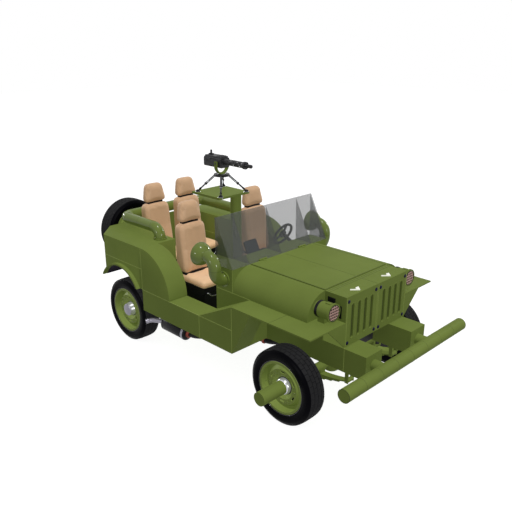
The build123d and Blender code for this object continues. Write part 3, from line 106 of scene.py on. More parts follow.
def surface(name, colour, roughness, metallic=0.0, shine=0.5, mottle=0.06, mottle_scale=3.0, grain=0.05,
        grain_scale=400.0, spread=0.06, pattern="noise", grain_depth=0.0006, **sockets):
    """A finish with uneven colour, uneven gloss and a fine bump, all from the object's own coordinates.

    The colour is a display colour, mottle and spread are how far colour and roughness stray.
    """
    material = bpy.data.materials.new(name)
    material.use_nodes = True
    tree = material.node_tree
    link = tree.links.new
    shader = tree.nodes["Principled BSDF"]
    where = node(tree, "ShaderNodeTexCoord").outputs["Object"]
    broad = node(tree, "ShaderNodeTexNoise", Scale=mottle_scale, Detail=6.0, Roughness=0.6)
    link(where, broad.inputs["Vector"])
    blend = node(tree, "ShaderNodeMix", data_type="RGBA")
    base = display(*colour)[:3]
    blend.inputs[MIX_A].default_value = (*(c * (1 - mottle) for c in base), 1.0)
    blend.inputs[MIX_B].default_value = (*(min(1.0, c * (1 + mottle)) for c in base), 1.0)
    ramp = node(tree, "ShaderNodeMapRange")
    ramp.inputs["From Min"].default_value = 0.35
    ramp.inputs["From Max"].default_value = 0.65
    link(broad.outputs["Fac"], ramp.inputs["Value"])
    link(ramp.outputs["Result"], blend.inputs["Factor"])
    link(blend.outputs[MIX_COLOUR], shader.inputs["Base Color"])
    gloss = node(tree, "ShaderNodeMapRange")
    gloss.inputs["To Min"].default_value = max(0.02, roughness - spread)
    gloss.inputs["To Max"].default_value = min(1.0, roughness + spread)
    patchy = node(tree, "ShaderNodeTexNoise", Scale=mottle_scale * 7, Detail=4.0)
    link(where, patchy.inputs["Vector"])
    link(patchy.outputs["Fac"], gloss.inputs["Value"])
    link(gloss.outputs["Result"], shader.inputs["Roughness"])
    if pattern == "cells":
        fine = node(tree, "ShaderNodeTexVoronoi", Scale=grain_scale, feature="DISTANCE_TO_EDGE")
        height = fine.outputs["Distance"]
    else:
        fine = node(tree, "ShaderNodeTexNoise", Scale=grain_scale, Detail=3.0)
        height = fine.outputs["Fac"]
    link(where, fine.inputs["Vector"])
    bump = node(tree, "ShaderNodeBump", Strength=grain, Distance=grain_depth)
    link(height, bump.inputs["Height"])
    link(bump.outputs["Normal"], shader.inputs["Normal"])
    shader.inputs["Metallic"].default_value = metallic
    shader.inputs["Specular IOR Level"].default_value = shine
    for key, value in sockets.items():
        shader.inputs[key.replace("_", " ")].default_value = value
    return material


OLIVE = surface("olive_paint", (109, 124, 60), 0.5, mottle=0.05, mottle_scale=2.2, grain=0.18,
    grain_scale=260, shine=0.015)
OLIVE_GLOSS = surface("olive_gloss", (102, 117, 53), 0.18, mottle=0.05, mottle_scale=2.2, grain=0.06,
    grain_scale=260, spread=0.03, shine=0.2)
OLIVE_RIM = surface("rim_paint", (122, 138, 68), 0.5, mottle=0.05, mottle_scale=2.2, grain=0.1,
    shine=0.1)
# Paler olive of the seam beads and grille border lines: a painted highlight for the light that their edges
# catch.
OLIVE_SEAM_HIGHLIGHT = surface("olive_seam_highlight", (146, 162, 84), 0.5, mottle=0.05, grain=0.1, shine=0.1)
OLIVE_DARK = surface("olive_shade", (66, 76, 36), 0.6, mottle=0.08, grain=0.1, shine=0.1)
HIDE = dict(mottle=0.05, mottle_scale=6, grain=0.35, grain_scale=420, pattern="cells",
    grain_depth=0.0008, Sheen_Weight=0.12, shine=0.25)
LEATHER = surface("seat_leather", (204, 166, 129), 0.5, **HIDE)
# A paler copy of the seat leather for the cushions: painted light that lifts their tops out of the shade of
# the backs and the cockpit.
LEATHER_LIT = surface("cushion_leather_painted_light", (232, 192, 150), 0.5, **HIDE)
PIPING = surface("seat_piping", (176, 138, 104), 0.55, grain=0.2, grain_scale=700, shine=0.25)
RUBBER = surface("tyre_tread", (38, 38, 39), 0.8, mottle=0.12, mottle_scale=9, grain=0.35,
    grain_scale=600, shine=0.04)
SIDEWALL = surface("tyre_sidewall", (5, 5, 8), 0.35, mottle=0.15, mottle_scale=9, grain=0.12,
    grain_scale=500, spread=0.04, shine=0.02)
BLACK = surface("black_plastic", (12, 12, 15), 0.4, mottle=0.1, grain=0.25, grain_scale=900, shine=0.12)
GUN = surface("gun_metal", (46, 46, 48), 0.42, metallic=0.3, mottle=0.14, mottle_scale=14, grain=0.2,
    grain_scale=900, shine=0.2)
GUN_DARK = surface("gun_dark", (20, 20, 23), 0.4, metallic=0.2, mottle=0.1, grain=0.2, shine=0.3)
IRON = surface("dark_iron", (26, 25, 28), 0.55, mottle=0.25, mottle_scale=18, grain=0.4,
    grain_scale=240, shine=0.25)
# Dark purple for the sheets in the rear wheel wells and on the sills' rear ends: painted shade.
WELL_SHADE = surface("well_painted_shade", (24, 18, 34), 0.75, mottle=0.2, mottle_scale=16, grain=0.5,
    grain_scale=180, shine=0.1)
STEEL = surface("bare_steel", (170, 171, 176), 0.28, metallic=1.0, mottle=0.06, grain=0.08,
    grain_scale=900)
SILVER = surface("silver_cap", (212, 212, 220), 0.26, metallic=0.6, mottle=0.04, grain=0.03)
DULL_STEEL = surface("dull_steel", (132, 130, 140), 0.3, metallic=0.7, mottle=0.12, grain=0.1)
BEAD = surface("bead_rubber", (10, 10, 14), 0.12, mottle=0.05, grain=0.02, spread=0.02, shine=0.7)
MIRROR = surface("mirror_glass", (225, 230, 235), 0.03, metallic=1.0, mottle=0.01, grain=0.01)
SCREEN_BLACK = surface("display_glass", (14, 30, 42), 0.12, mottle=0.1, grain=0.02, shine=0.3)
GLASS = surface("screen_glass", (82, 84, 84), 0.1, mottle=0.03, grain=0.02, Alpha=0.42, shine=0.25)
LENS = surface("lamp_lens", (22, 18, 20), 0.12, mottle=0.02, grain=0.02, shine=0.12)
GUARD = surface("lamp_guard", (184, 150, 140), 0.4, mottle=0.05, shine=0.2)
BLUED = surface("blued_steel", (14, 12, 44), 0.4, mottle=0.1, grain=0.1, shine=0.08)
PALE = surface("pale_hook", (254, 254, 240), 0.45, mottle=0.03, grain=0.05, shine=0.2)
RED_OXIDE = surface("red_oxide", (124, 44, 26), 0.6, mottle=0.2, mottle_scale=12)

# The material slot of each finish.
SLOTS = {
    "olive_paint": (OLIVE, OLIVE_GLOSS, OLIVE_RIM, OLIVE_SEAM_HIGHLIGHT, OLIVE_DARK),
    "seat_leather": (LEATHER, LEATHER_LIT, PIPING),
    "tyre_rubber": (RUBBER, SIDEWALL, BEAD),
    "black_plastic": (BLACK, SCREEN_BLACK),
    "gun_metal": (GUN, GUN_DARK),
    "dark_iron": (IRON, WELL_SHADE, BLUED, RED_OXIDE),
    "bright_metal": (STEEL, SILVER, DULL_STEEL, GUARD, PALE),
    "screen_glass": (GLASS, LENS),
    "mirror_glass": (MIRROR,),
}

NODE_FINISH = {
    "seat_cushions": LEATHER, "seat_backs": LEATHER, "seat_bases": BLACK, "windscreen": GLASS,
    "gun": GUN, "gun_stand": GUN_DARK, "steering_wheel": BLACK, "dash_fittings": BLACK, "exhaust": IRON,
    "power_unit": IRON, "drivetrain": IRON, "tie_rod": IRON, "knuckle_left": IRON, "knuckle_right": IRON,
    "hand_rail": OLIVE_GLOSS, "mirrors": OLIVE_GLOSS,
}


def finish_nodes():
    """Gives every solid its finish; tyres and rims go by their names, and the rest is olive."""
    for name, obj in NODES.items():
        words = name.split("_")
        usual = SIDEWALL if "tyre" in words else OLIVE_RIM if "rim" in words else OLIVE
        finish = NODE_FINISH.get(name, usual)
        if not obj.data.materials:
            obj.data.materials.append(finish)
        for index in range(len(obj.data.materials)):
            obj.data.materials[index] = finish


# ---- mesh helpers ----
def piece(name, mesh, finish, smooth=35, body="chassis", slot=None, replaces=(), place=None):
    """Puts a mesh in the scene as a piece of the object, riding on a body; smooth is an angle in degrees."""
    if slot is None:
        slot = next(key for key, finishes in SLOTS.items() if finish in finishes)
    if isinstance(mesh, bmesh.types.BMesh):
        bmesh.ops.recalc_face_normals(mesh, faces=mesh.faces)
        data = bpy.data.meshes.new(name)
        mesh.to_mesh(data)
        mesh.free()
        mesh = data
    if smooth:
        mesh.polygons.foreach_set("use_smooth", [True] * len(mesh.polygons))
        mesh.set_sharp_from_angle(angle=radians(smooth))
    if not mesh.materials:
        mesh.materials.append(finish)
    obj = bpy.data.objects.new(name, mesh)
    bpy.context.collection.objects.link(obj)
    if place is not None:
        obj.matrix_world = place
    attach(obj, body)
    if replaces:
        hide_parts(*replaces)
    return obj


def joined(parts):
    """Several bmeshes as one."""
    whole = bmesh.new()
    for part in parts:
        temp = bpy.data.meshes.new("temp")
        part.to_mesh(temp)
        part.free()
        whole.from_mesh(temp)
        bpy.data.meshes.remove(temp)
    return whole


def frame_along(axis):
    """A rotation whose local Z lies along the axis."""
    return Vector(axis).to_track_quat("Z", "Y").to_matrix().to_4x4()


def skinned(rings, caps=True, closed=False):
    """A mesh over rings of points, each ring joined to the next. A ring may be a single point."""
    mesh = bmesh.new()
    rings = [[mesh.verts.new(p) for p in points] for points in rings]
    for low, high in zip(rings, rings[1:] + rings[:1] if closed else rings[1:]):
        count = max(len(low), len(high))
        for i in range(count if count > 1 else 0):
            j = (i + 1) % count
            if len(low) == 1:
                mesh.faces.new((low[0], high[i], high[j]))
            elif len(high) == 1:
                mesh.faces.new((low[i], low[j], high[0]))
            else:
                mesh.faces.new((low[i], low[j], high[j], high[i]))
    if caps:
        mesh.faces.new(rings[0][::-1])
        mesh.faces.new(rings[-1])
    return mesh


def revolved(profile, segments, axis=UP, origin=(0, 0, 0), closed=False):
    """A (height, radius) profile turned about an axis through the origin."""
    turn = Matrix.Translation(Vector(origin)) @ frame_along(axis)
    angles = [2 * pi * i / segments for i in range(segments)]
    rings = []
    for height, radius in profile:
        round_it = angles if radius > 1e-6 else [0]
        rings.append([turn @ Vector((radius * cos(a), radius * sin(a), height)) for a in round_it])
    return skinned(rings, False, closed)


def bar(start, end, radius, segments=16, bevel=0.0):
    """A round bar with a small chamfer at both ends."""
    start, end = Vector(start), Vector(end)
    length = (end - start).length
    c = min(bevel or radius * 0.12, length / 3)
    profile = [(0, 0), (0, radius - c), (c, radius)]
    profile += [(length - x, r) for x, r in profile[::-1]]
    return revolved(profile, segments, end - start, start)


def box(corner, other, bevel=0.002, segments=2):
    """A box between two opposite corners, with rounded edges."""
    low, high = Vector(map(min, corner, other)), Vector(map(max, corner, other))
    mesh = bmesh.new()
    bmesh.ops.create_cube(mesh, size=1.0)
    size = high - low
    bmesh.ops.scale(mesh, vec=size, verts=mesh.verts)
    bmesh.ops.bevel(mesh, geom=mesh.edges[:], offset=min(bevel, min(size) * 0.45), segments=segments,
        affect="EDGES", profile=0.6)
    bmesh.ops.translate(mesh, vec=(low + high) / 2, verts=mesh.verts)
    return mesh


def hexagon(centre, axis, across, height):
    """A hexagonal bolt head standing on its centre point."""
    r = across / sqrt(3)
    return revolved([(0, 0), (0, r), (height * 0.75, r), (height, r * 0.8), (height, 0)], 6, axis, centre)


def ring(centre, axis, radius, wire, segments=32, sides=8):
    """A torus."""
    angles = [2 * pi * k / sides for k in range(sides)]
    profile = [(wire * sin(a), radius + wire * cos(a)) for a in angles]
    return revolved(profile, segments, axis, centre, closed=True)


def tube(points, radius, segments=10, closed=False):
    """A round tube along a list of points."""
    points = [Vector(p) for p in points]
    angles = [2 * pi * k / segments for k in range(segments)]
    rings = []
    count = len(points)
    normal = None
    for i, p in enumerate(points):
        before = points[i - 1] if (i or closed) else p
        after = points[(i + 1) % count] if (i < count - 1 or closed) else p
        tangent = (after - before).normalized()
        if normal is None:
            normal = tangent.orthogonal().normalized()
        normal = (normal - tangent * normal.dot(tangent)).normalized()
        side = tangent.cross(normal)
        rings.append([p + radius * (normal * cos(a) + side * sin(a)) for a in angles])
    return skinned(rings, not closed, closed)


def softened(points, rounds):
    """Corner cutting: each round replaces every corner by two points."""
    points = [tuple(p) for p in points]
    for _ in range(rounds):
        cut = []
        for a, b in zip(points, points[1:]):
            cut += [tuple(f * p + (1 - f) * q for p, q in zip(a, b)) for f in (0.75, 0.25)]
        points = [points[0], *cut, points[-1]]
    return points


# ---- light and floor ----
WORLD_LEVEL = 0.22
WORLD_BLUE = 1.03
LAMPS = [  # name, light that a face turned to the lamp gets, height and heading of the lamp in degrees
    ("key", 0.50, 79, 0),
    ("front", 0.32, 15, 0),
    ("right", 0.20, 15, -90),
    ("left", 0.20, 15, 90),
    ("rear", 0.20, 15, 180),
]
LAMP_SPREAD = 6             # degrees
FLOOR_SIZE = 60
FLOOR_SEEN = 0.99           # the floor's grey in the picture
FLOOR_BOUNCE = 0.25         # its grey for the light that it throws back at the object
FLOOR_GLOW = 0.2            # lifts the floor to white where nothing shades it


def by_ray(tree, seen, unseen):
    """A grey for rays that the camera, gloss or glass sends out, and one for the light on the object."""
    path = node(tree, "ShaderNodeLightPath")
    either = path.outputs["Is Camera Ray"]
    for output in ("Is Glossy Ray", "Is Transmission Ray"):
        most = node(tree, "ShaderNodeMath", operation="MAXIMUM")
        tree.links.new(either, most.inputs[0])
        tree.links.new(path.outputs[output], most.inputs[1])
        either = most.outputs[0]
    blend = node(tree, "ShaderNodeMix", data_type="RGBA")
    blend.inputs[MIX_A].default_value = (unseen, unseen, unseen, 1.0)
    blend.inputs[MIX_B].default_value = (seen, seen, seen, 1.0)
    tree.links.new(either, blend.inputs["Factor"])
    return blend.outputs[MIX_COLOUR]


def make_sky():
    """A world that is white in the picture and lights the object by its own level, a little blue."""
    world = bpy.data.worlds.new("studio")
    world.use_nodes = True
    bpy.context.scene.world = world
    tree = world.node_tree
    sky = tree.nodes["Background"]
    sky.inputs["Strength"].default_value = 1.0
    colour = by_ray(tree, 1.0, WORLD_LEVEL)
    colour.node.inputs[MIX_A].default_value[2] = WORLD_LEVEL * WORLD_BLUE
    tree.links.new(colour, sky.inputs["Color"])


def make_lights():
    for name, level, height, heading in LAMPS:
        lamp = bpy.data.lights.new(name, "SUN")
        lamp.energy = level * pi
        lamp.angle = radians(LAMP_SPREAD)
        lamp.use_shadow = False
        obj = bpy.data.objects.new(name, lamp)
        obj.rotation_euler = (0, radians(90 - height), radians(heading))
        bpy.context.collection.objects.link(obj)


def make_floor():
    mesh = bpy.data.meshes.new("floor")
    half = FLOOR_SIZE / 2
    mesh.from_pydata([(-half, -half, 0), (half, -half, 0), (half, half, 0), (-half, half, 0)], [],
        [(0, 1, 2, 3)])
    floor = bpy.data.objects.new("floor", mesh)
    bpy.context.collection.objects.link(floor)
    pale = bpy.data.materials.new("floor")
    pale.use_nodes = True
    tree = pale.node_tree
    shader = tree.nodes["Principled BSDF"]
    shader.inputs["Roughness"].default_value = 1.0
    shader.inputs["Specular IOR Level"].default_value = 0.0
    tree.links.new(by_ray(tree, FLOOR_SEEN, FLOOR_BOUNCE), shader.inputs["Base Color"])
    tree.links.new(by_ray(tree, 1.0, 0.0), shader.inputs["Emission Color"])
    shader.inputs["Emission Strength"].default_value = FLOOR_GLOW
    mesh.materials.append(pale)


bpy.context.scene.view_settings.view_transform = "Standard"
make_sky()
make_lights()
make_floor()
finish_nodes()

# ---- wheels ----
TYRE_LOW, TYRE_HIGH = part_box("tyre_rear_right")
TYRE_RADIUS = (TYRE_HIGH.z - TYRE_LOW.z) / 2
TYRE_HALF_WIDTH = (TYRE_HIGH.y - TYRE_LOW.y) / 2
BEAD_RADIUS = 0.2033
BEAD_HALF_WIDTH = 0.0768
TREAD_DEPTH = 0.0018
TREAD_STEPS = 40
TREAD_ROWS = (-0.057, -0.019, 0.019, 0.057)
TREAD_ROOT = 0.003          # how deep the blocks stand in the carcass
TREAD_BEVEL = 0.0008
SHOULDER_DROP = 0.003       # fall of the outer rows' blocks towards the sidewall
SHOULDER_START = 0.052
SHOULDER_WIDTH = 0.02
TREAD_BLOCK_WIDTH = 0.0345
TREAD_BLOCK_LENGTH = 0.0455
TYRE_SEGMENTS = 96
WHEELS = [(end, name, side) for end in ("front", "rear") for name, side in SIDES]


def carcass_profile():
    """Half section of the tyre below its tread, as (axial, radial) points from one bead to the other."""
    half, outer = TYRE_HALF_WIDTH, TYRE_RADIUS - TREAD_DEPTH
    side = [(BEAD_HALF_WIDTH, BEAD_RADIUS), (BEAD_HALF_WIDTH, 0.2150), (0.0840, 0.2165),
        (0.0870, 0.2240), (half - 0.003, 0.2360), (half - 0.001, 0.2420), (half, 0.2560),
        (half, 0.2700), (half - 0.003, 0.2790), (half - 0.006, 0.2830), (half - 0.010, 0.2920),
        (0.070, outer - 0.0015), (0.040, outer)]
    return softened(side + [(-a, r) for a, r in side[::-1]], 1)


def tread_blocks():
    """Rows of slightly bevelled blocks round the tyre, each row half a step on from the last."""
    blocks = bmesh.new()
    half_turn = TREAD_BLOCK_LENGTH / 2 / TYRE_RADIUS
    tiers = [(TYRE_RADIUS - TREAD_DEPTH - TREAD_ROOT, 1.0), (TYRE_RADIUS - TREAD_BEVEL, 1.0),
        (TYRE_RADIUS, 0.95)]
    for row, middle in enumerate(TREAD_ROWS):
        drop = SHOULDER_DROP if row in (0, len(TREAD_ROWS) - 1) else 0.0
        for step in range(TREAD_STEPS):
            angle = 2 * pi * (step + 0.5 * (row % 2)) / TREAD_STEPS
            corners = []
            for level, shrink in tiers:
                for da, dy in ((-1, -1), (1, -1), (1, 1), (-1, 1)):
                    a = angle + da * half_turn * shrink
                    y = middle + dy * TREAD_BLOCK_WIDTH / 2 * shrink
                    r = level - drop * max(0.0, (abs(y) - SHOULDER_START) / SHOULDER_WIDTH)
                    corners.append(blocks.verts.new((r * sin(a), y, r * cos(a))))
            for tier in (0, 4):
                for k, n in ((0, 1), (1, 2), (2, 3), (3, 0)):
                    quad = (tier + k, tier + n, tier + 4 + n, tier + 4 + k)
                    blocks.faces.new([corners[i] for i in quad])
            blocks.faces.new(corners[8:12])
    return blocks


def tyre_mesh():
    """Carcass and tread about the wheel's middle, with the axle along Y."""
    carcass = revolved(carcass_profile(), TYRE_SEGMENTS, LEFT)
    side_count = len(carcass.faces)
    mesh = bpy.data.meshes.new("tyre")
    whole = joined([carcass, tread_blocks()])
    bmesh.ops.recalc_face_normals(whole, faces=whole.faces)
    whole.faces.ensure_lookup_table()
    for index, face in enumerate(whole.faces):
        face.material_index = 1 if index >= side_count else 0
    whole.to_mesh(mesh)
    whole.free()
    mesh.materials.append(SIDEWALL)
    mesh.materials.append(RUBBER)
    return mesh


def middle_of(node_name):
    low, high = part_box(node_name)
    return (low + high) / 2


def make_wheels():
    shared = tyre_mesh()
    for end, hand, side in WHEELS:
        name = end + "_" + hand
        place = Matrix.Translation(middle_of("tyre_" + name))
        piece("tread_" + name, shared, SIDEWALL, smooth=30, body="wheel_" + name,
            replaces=("tyre_" + name,), place=place)
        turned = place @ Matrix.Rotation(0 if side > 0 else pi, 4, "Z")
        wheel_trim(name, "wheel_" + name, turned, end == "front")
    place = Matrix.Translation(middle_of("spare_tyre")) @ Matrix.Rotation(radians(90), 4, "Z")
    piece("tread_spare", shared, SIDEWALL, smooth=30, replaces=("spare_tyre",), place=place)
    wheel_trim("spare", "chassis", place, False)


HUB_FACE = 0.029            # outer face of the dish at the hub, from mid-tread
RING_FACE = 0.057           # outer face of the raised ring
CAP_SEAT = 0.08             # where the rear hub's cap begins
STUB_RADIUS = 0.055
HUB_SEGMENTS = 44
LUG_CIRCLE = 0.122
LUG_COUNT = 6
LUG_ACROSS = 0.013
LUG_HEIGHT = 0.008
BEAD_LINE = (0.085, 0.2185, 0.0022)     # place along the axle, radius and wire


def wheel_trim(name, body, place, front):
    """Nuts, hub collar or cap, bead line and valve of one wheel, on its outer side, local +Y."""
    nuts = []
    for k in range(LUG_COUNT):
        a = 2 * pi * (k + 0.5) / LUG_COUNT
        foot = Vector((LUG_CIRCLE * sin(a), RING_FACE, LUG_CIRCLE * cos(a)))
        nuts.append(hexagon(foot, LEFT, LUG_ACROSS, LUG_HEIGHT))
        nuts.append(bar(foot + Vector((0, 0.007, 0)), foot + Vector((0, 0.011, 0)), 0.0038, 10))
    valve = bar((0.150, 0.045, 0.0), (0.156, 0.076, 0.0), 0.0035, 10)
    piece("wheel_nuts_" + name, joined(nuts + [valve]), OLIVE_GLOSS, body=body, place=place)
    if front:
        collar = [(HUB_FACE, 0.0), (HUB_FACE, 0.0655), (HUB_FACE + 0.014, 0.0668),
            (HUB_FACE + 0.024, 0.0655), (HUB_FACE + 0.033, 0.0615), (HUB_FACE + 0.038, 0.0580),
            (HUB_FACE + 0.039, STUB_RADIUS + 0.0006)]
    else:
        collar = [(CAP_SEAT, 0.0), (CAP_SEAT, 0.0588), (0.0835, 0.0572), (0.0872, 0.0490),
            (0.0898, 0.0370), (0.0914, 0.0200), (0.0918, 0.0)]
        flank = [(HUB_FACE, 0.0), (HUB_FACE, 0.0680), (HUB_FACE + 0.010, 0.0670),
            (HUB_FACE + 0.030, 0.0610), (CAP_SEAT - 0.0002, 0.0592), (CAP_SEAT - 0.0001, 0.0)]
        piece("hub_flank_" + name, revolved(flank, HUB_SEGMENTS, LEFT), SILVER, body=body, place=place)
    # The rear cap's flank is silver and its end a darker steel: the darker end is painted shade; the front
    # collar is all silver.
    finish = SILVER if front else DULL_STEEL
    piece("hub_collar_" + name, revolved(collar, HUB_SEGMENTS, LEFT), finish, smooth=60, body=body,
        place=place)
    shade = [(HUB_FACE, 0.066), (HUB_FACE + 0.0012, 0.066), (HUB_FACE + 0.0012, 0.086), (HUB_FACE, 0.0875)]
    shade = revolved(shade, HUB_SEGMENTS, LEFT, closed=True)
    piece("hub_shadow_ring_" + name, shade, BLACK, body=body, place=place)
    along, radius, wire = BEAD_LINE
    piece("bead_line_" + name, ring((0, along, 0), LEFT, radius, wire, 80), BEAD, smooth=60, body=body,
        place=place)


make_wheels()

# ---- seats ----
SEAT_HALF_WIDTH = 0.152
CUSHION_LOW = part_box("seat_cushions")[0].z
CUSHION_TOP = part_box("seat_cushions")[1].z
CUSHION_HALF_HEIGHT = (CUSHION_TOP - CUSHION_LOW) / 2
CUSHION_LENGTH = 0.38
BACK_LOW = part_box("seat_backs")[0].z
HEAD_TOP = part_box("seat_backs")[1].z
BACK_HEIGHT = 0.4525
HEAD_GAP = 0.009
HEAD_CROWN = 0.006          # how far the headrest's front and foot bulge
HEAD_CROWN_HALF = 0.118     # half width over which they do
FRONT_ROW_X = -0.415        # middle of the front cushions, as a station
REAR_ROW_X = station_of("seat_cushions", 0) + CUSHION_LENGTH / 2
BACK_X = 0.060 - CUSHION_LENGTH / 2     # foot of the back, from the cushion's middle
BACK_LEAN = 0.036           # how far the back's top lies behind its foot
SEAT_PLACES = [  # name, station of the cushion's middle, Y
    ("front_left", FRONT_ROW_X, 0.4),
    ("front_right", FRONT_ROW_X, -0.4),
    ("rear_left", REAR_ROW_X, 0.2),
    ("rear_right", REAR_ROW_X, -0.2),
]
PIPING_INSET = 0.0005
PIPING_RISE = 0.03          # above the cushion's foot
PIPING_CORNER = 0.03
PIPING_RADIUS = 0.0022
PAD_VOXEL = 0.008
PAD_FRAMES = 20
PAD_PRESSURE = 4.0
CUSHION_CAP = 0.006         # the furthest that cloth may move a point of a pad
HEADREST_CAP = 0.004
POST_SIDE = 0.055
POST_RADIUS = 0.006


def rounded_pad(half, radius, cells):
    """A box of the given half sizes with round edges, its faces in small squares."""
    mesh = bmesh.new()
    bmesh.ops.create_cube(mesh, size=2.0)
    bmesh.ops.subdivide_edges(mesh, edges=mesh.edges[:], cuts=cells, use_grid_fill=True)
    half, radius = Vector(half), Vector(radius)
    for vert in mesh.verts:
        spot = Vector(c * h for c, h in zip(vert.co, half))
        core = Vector(max(r - h, min(h - r, p)) for p, h, r in zip(spot, half, radius))
        out = Vector((p - c) / r for p, c, r in zip(spot, core, radius))
        if out.length > 1e-6:
            out.normalize()
            spot = core + Vector(o * r for o, r in zip(out, radius))
        vert.co = spot
    return mesh


def smooth_step(value):
    value = max(0.0, min(1.0, value))
    return value * value * (3 - 2 * value)


def cushion_form():
    """The seat's cushion about its own middle: dished top, full sides and a raised front lip."""
    mesh = rounded_pad((CUSHION_LENGTH / 2, SEAT_HALF_WIDTH, CUSHION_HALF_HEIGHT), (0.036, 0.034, 0.034), 15)
    for vert in mesh.verts:
        x, y, z = vert.co
        if z > 0:
            across = 1 - min(1.0, (y / 0.105) ** 2)
            lip = smooth_step((x - 0.055) / 0.05)
            z -= 0.016 * max(0.0, across) * (1 - lip)
            z -= 0.004 * across * lip
        x += 0.008 * (1 - (y / SEAT_HALF_WIDTH) ** 2) * smooth_step(x / 0.19)
        vert.co = Vector((x, y, z))
    return mesh


def back_form():
    """The seat's back about the middle of its foot: arched top, raised sides and a soft middle panel."""
    mesh = rounded_pad((0.074, SEAT_HALF_WIDTH, BACK_HEIGHT / 2), (0.030, 0.040, 0.045), 17)
    for vert in mesh.verts:
        x, y, z = vert.co
        rise = (z + BACK_HEIGHT / 2) / BACK_HEIGHT
        across = 1 - (y / SEAT_HALF_WIDTH) ** 2
        if x > 0:
            x -= 0.010 * smooth_step((0.108 - abs(y)) / 0.05) * smooth_step((1 - rise) / 0.2)
            x += 0.006 * max(0.0, 1 - ((rise - 0.28) / 0.22) ** 2)
        x *= 1.0 - 0.36 * rise
        z += 0.010 * across * rise - 0.006 * rise
        y *= 1.0 - 0.03 * smooth_step((rise - 0.75) / 0.25)
        vert.co = Vector((x - BACK_LEAN * rise, y, z + BACK_HEIGHT / 2))
    return mesh


def headrest_form():
    """The headrest about the middle of its foot: narrower at the top, with a full front."""
    high = HEAD_TOP - BACK_LOW - BACK_HEIGHT - HEAD_GAP
    mesh = rounded_pad((0.044, 0.124, high / 2), (0.030, 0.034, 0.040), 11)
    for vert in mesh.verts:
        x, y, z = vert.co
        rise = z / high + 0.5
        y *= 1.0 - 0.27 * rise ** 1.3
        crown = HEAD_CROWN * (1 - (y / HEAD_CROWN_HALF) ** 2)
        if x > 0:
            x += crown
        x *= 1.0 - 0.14 * rise
        z += crown * (1 - rise)
        vert.co = Vector((x - 0.020 * rise, y, z + high / 2))
    return mesh


def scratch_object(mesh):
    """A working copy of a form as an object, to put modifiers on."""
    data = bpy.data.meshes.new("scratch")
    mesh.to_mesh(data)
    mesh.free()
    obj = bpy.data.objects.new("scratch", data)
    bpy.context.collection.objects.link(obj)
    return obj


def applied(obj):
    """The object's mesh with its modifiers applied; the object keeps that mesh and no modifiers."""
    depsgraph = bpy.context.evaluated_depsgraph_get()
    mesh = bpy.data.meshes.new_from_object(obj.evaluated_get(depsgraph))
    obj.modifiers.clear()
    obj.data = mesh
    return mesh


def swollen(form, cap):
    """The form filled out by a cloth simulation, with each point's move capped, as a mesh."""
    bmesh.ops.recalc_face_normals(form, faces=form.faces)
    obj = scratch_object(form)
    remesh = obj.modifiers.new("voxels", "REMESH")
    remesh.mode = "VOXEL"
    remesh.voxel_size = PAD_VOXEL
    even = obj.modifiers.new("even", "SMOOTH")
    even.factor = 0.5
    even.iterations = 6
    start = applied(obj)
    rest = [v.co.copy() for v in start.vertices]
    cloth = obj.modifiers.new("cloth", "CLOTH")
    cloth.settings.use_pressure = True
    cloth.settings.uniform_pressure_force = PAD_PRESSURE
    cloth.settings.effector_weights.gravity = 0
    cloth.point_cache.frame_start = 1
    cloth.point_cache.frame_end = PAD_FRAMES
    for step in range(1, PAD_FRAMES + 1):
        bpy.context.scene.frame_set(step)
    start = applied(obj)
    bpy.context.scene.frame_set(1)
    for vert, old in zip(start.vertices, rest):
        move = vert.co - old
        if move.length > cap:
            vert.co = old + move * (cap / move.length)
    finer = obj.modifiers.new("finer", "SUBSURF")
    finer.levels = 1
    done = applied(obj)
    bpy.data.objects.remove(obj)
    return done


def seat_seams():
    """Fine piping round the foot of the cushion's crown, about the cushion's middle."""
    x, y = CUSHION_LENGTH / 2 - PIPING_INSET, SEAT_HALF_WIDTH - PIPING_INSET
    z = PIPING_RISE - CUSHION_HALF_HEIGHT
    route = [Vector(p) for p in ((x, -y, z), (x, y, z), (-x, y, z), (-x, -y, z))]
    points = []
    for i, here in enumerate(route):
        into = (route[i - 1] - here).normalized() * PIPING_CORNER
        away = (route[(i + 1) % 4] - here).normalized() * PIPING_CORNER
        for k in range(5):
            a = k / 4 * pi / 2
            points.append(here + into * (1 - sin(a)) + away * (1 - cos(a)))
    return tube(points, PIPING_RADIUS, 8, closed=True)


def make_seats():
    """Four seats from one set of pads, with the headrest posts."""
    cushion = swollen(cushion_form(), CUSHION_CAP)
    back = swollen(back_form(), CUSHION_CAP)
    headrest = swollen(headrest_form(), HEADREST_CAP)
    seam = bpy.data.meshes.new("seam")
    piped = seat_seams()
    piped.to_mesh(seam)
    piped.free()
    for name, station, y in SEAT_PLACES:
        low_middle = at(station, y, (CUSHION_LOW + CUSHION_TOP) / 2)
        foot = at(station + BACK_X, y, BACK_LOW)
        head = at(station + BACK_X - BACK_LEAN, y, BACK_LOW + BACK_HEIGHT + HEAD_GAP)
        first = name == "front_left"
        # The cushions take the paler leather, painted light.
        pad = piece("cushion_" + name, cushion, LEATHER_LIT, smooth=80,
            replaces=("seat_cushions",) if first else (), place=Matrix.Translation(low_middle))
        pad = piece("back_" + name, back, LEATHER, smooth=80, replaces=("seat_backs",) if first else (),
            place=Matrix.Translation(foot))
        pad = piece("headrest_" + name, headrest, LEATHER, smooth=80, place=Matrix.Translation(head))
        piece("cushion_seam_" + name, seam, PIPING, smooth=60, place=Matrix.Translation(low_middle))
        posts = []
        for side in (1, -1):
            middle = head + Vector((0, side * POST_SIDE, 0))
            posts.append(bar(middle - Vector((0, 0, 0.040)), middle + Vector((0, 0, 0.030)),
                POST_RADIUS, 14))
        piece("headrest_posts_" + name, joined(posts), STEEL)


make_seats()

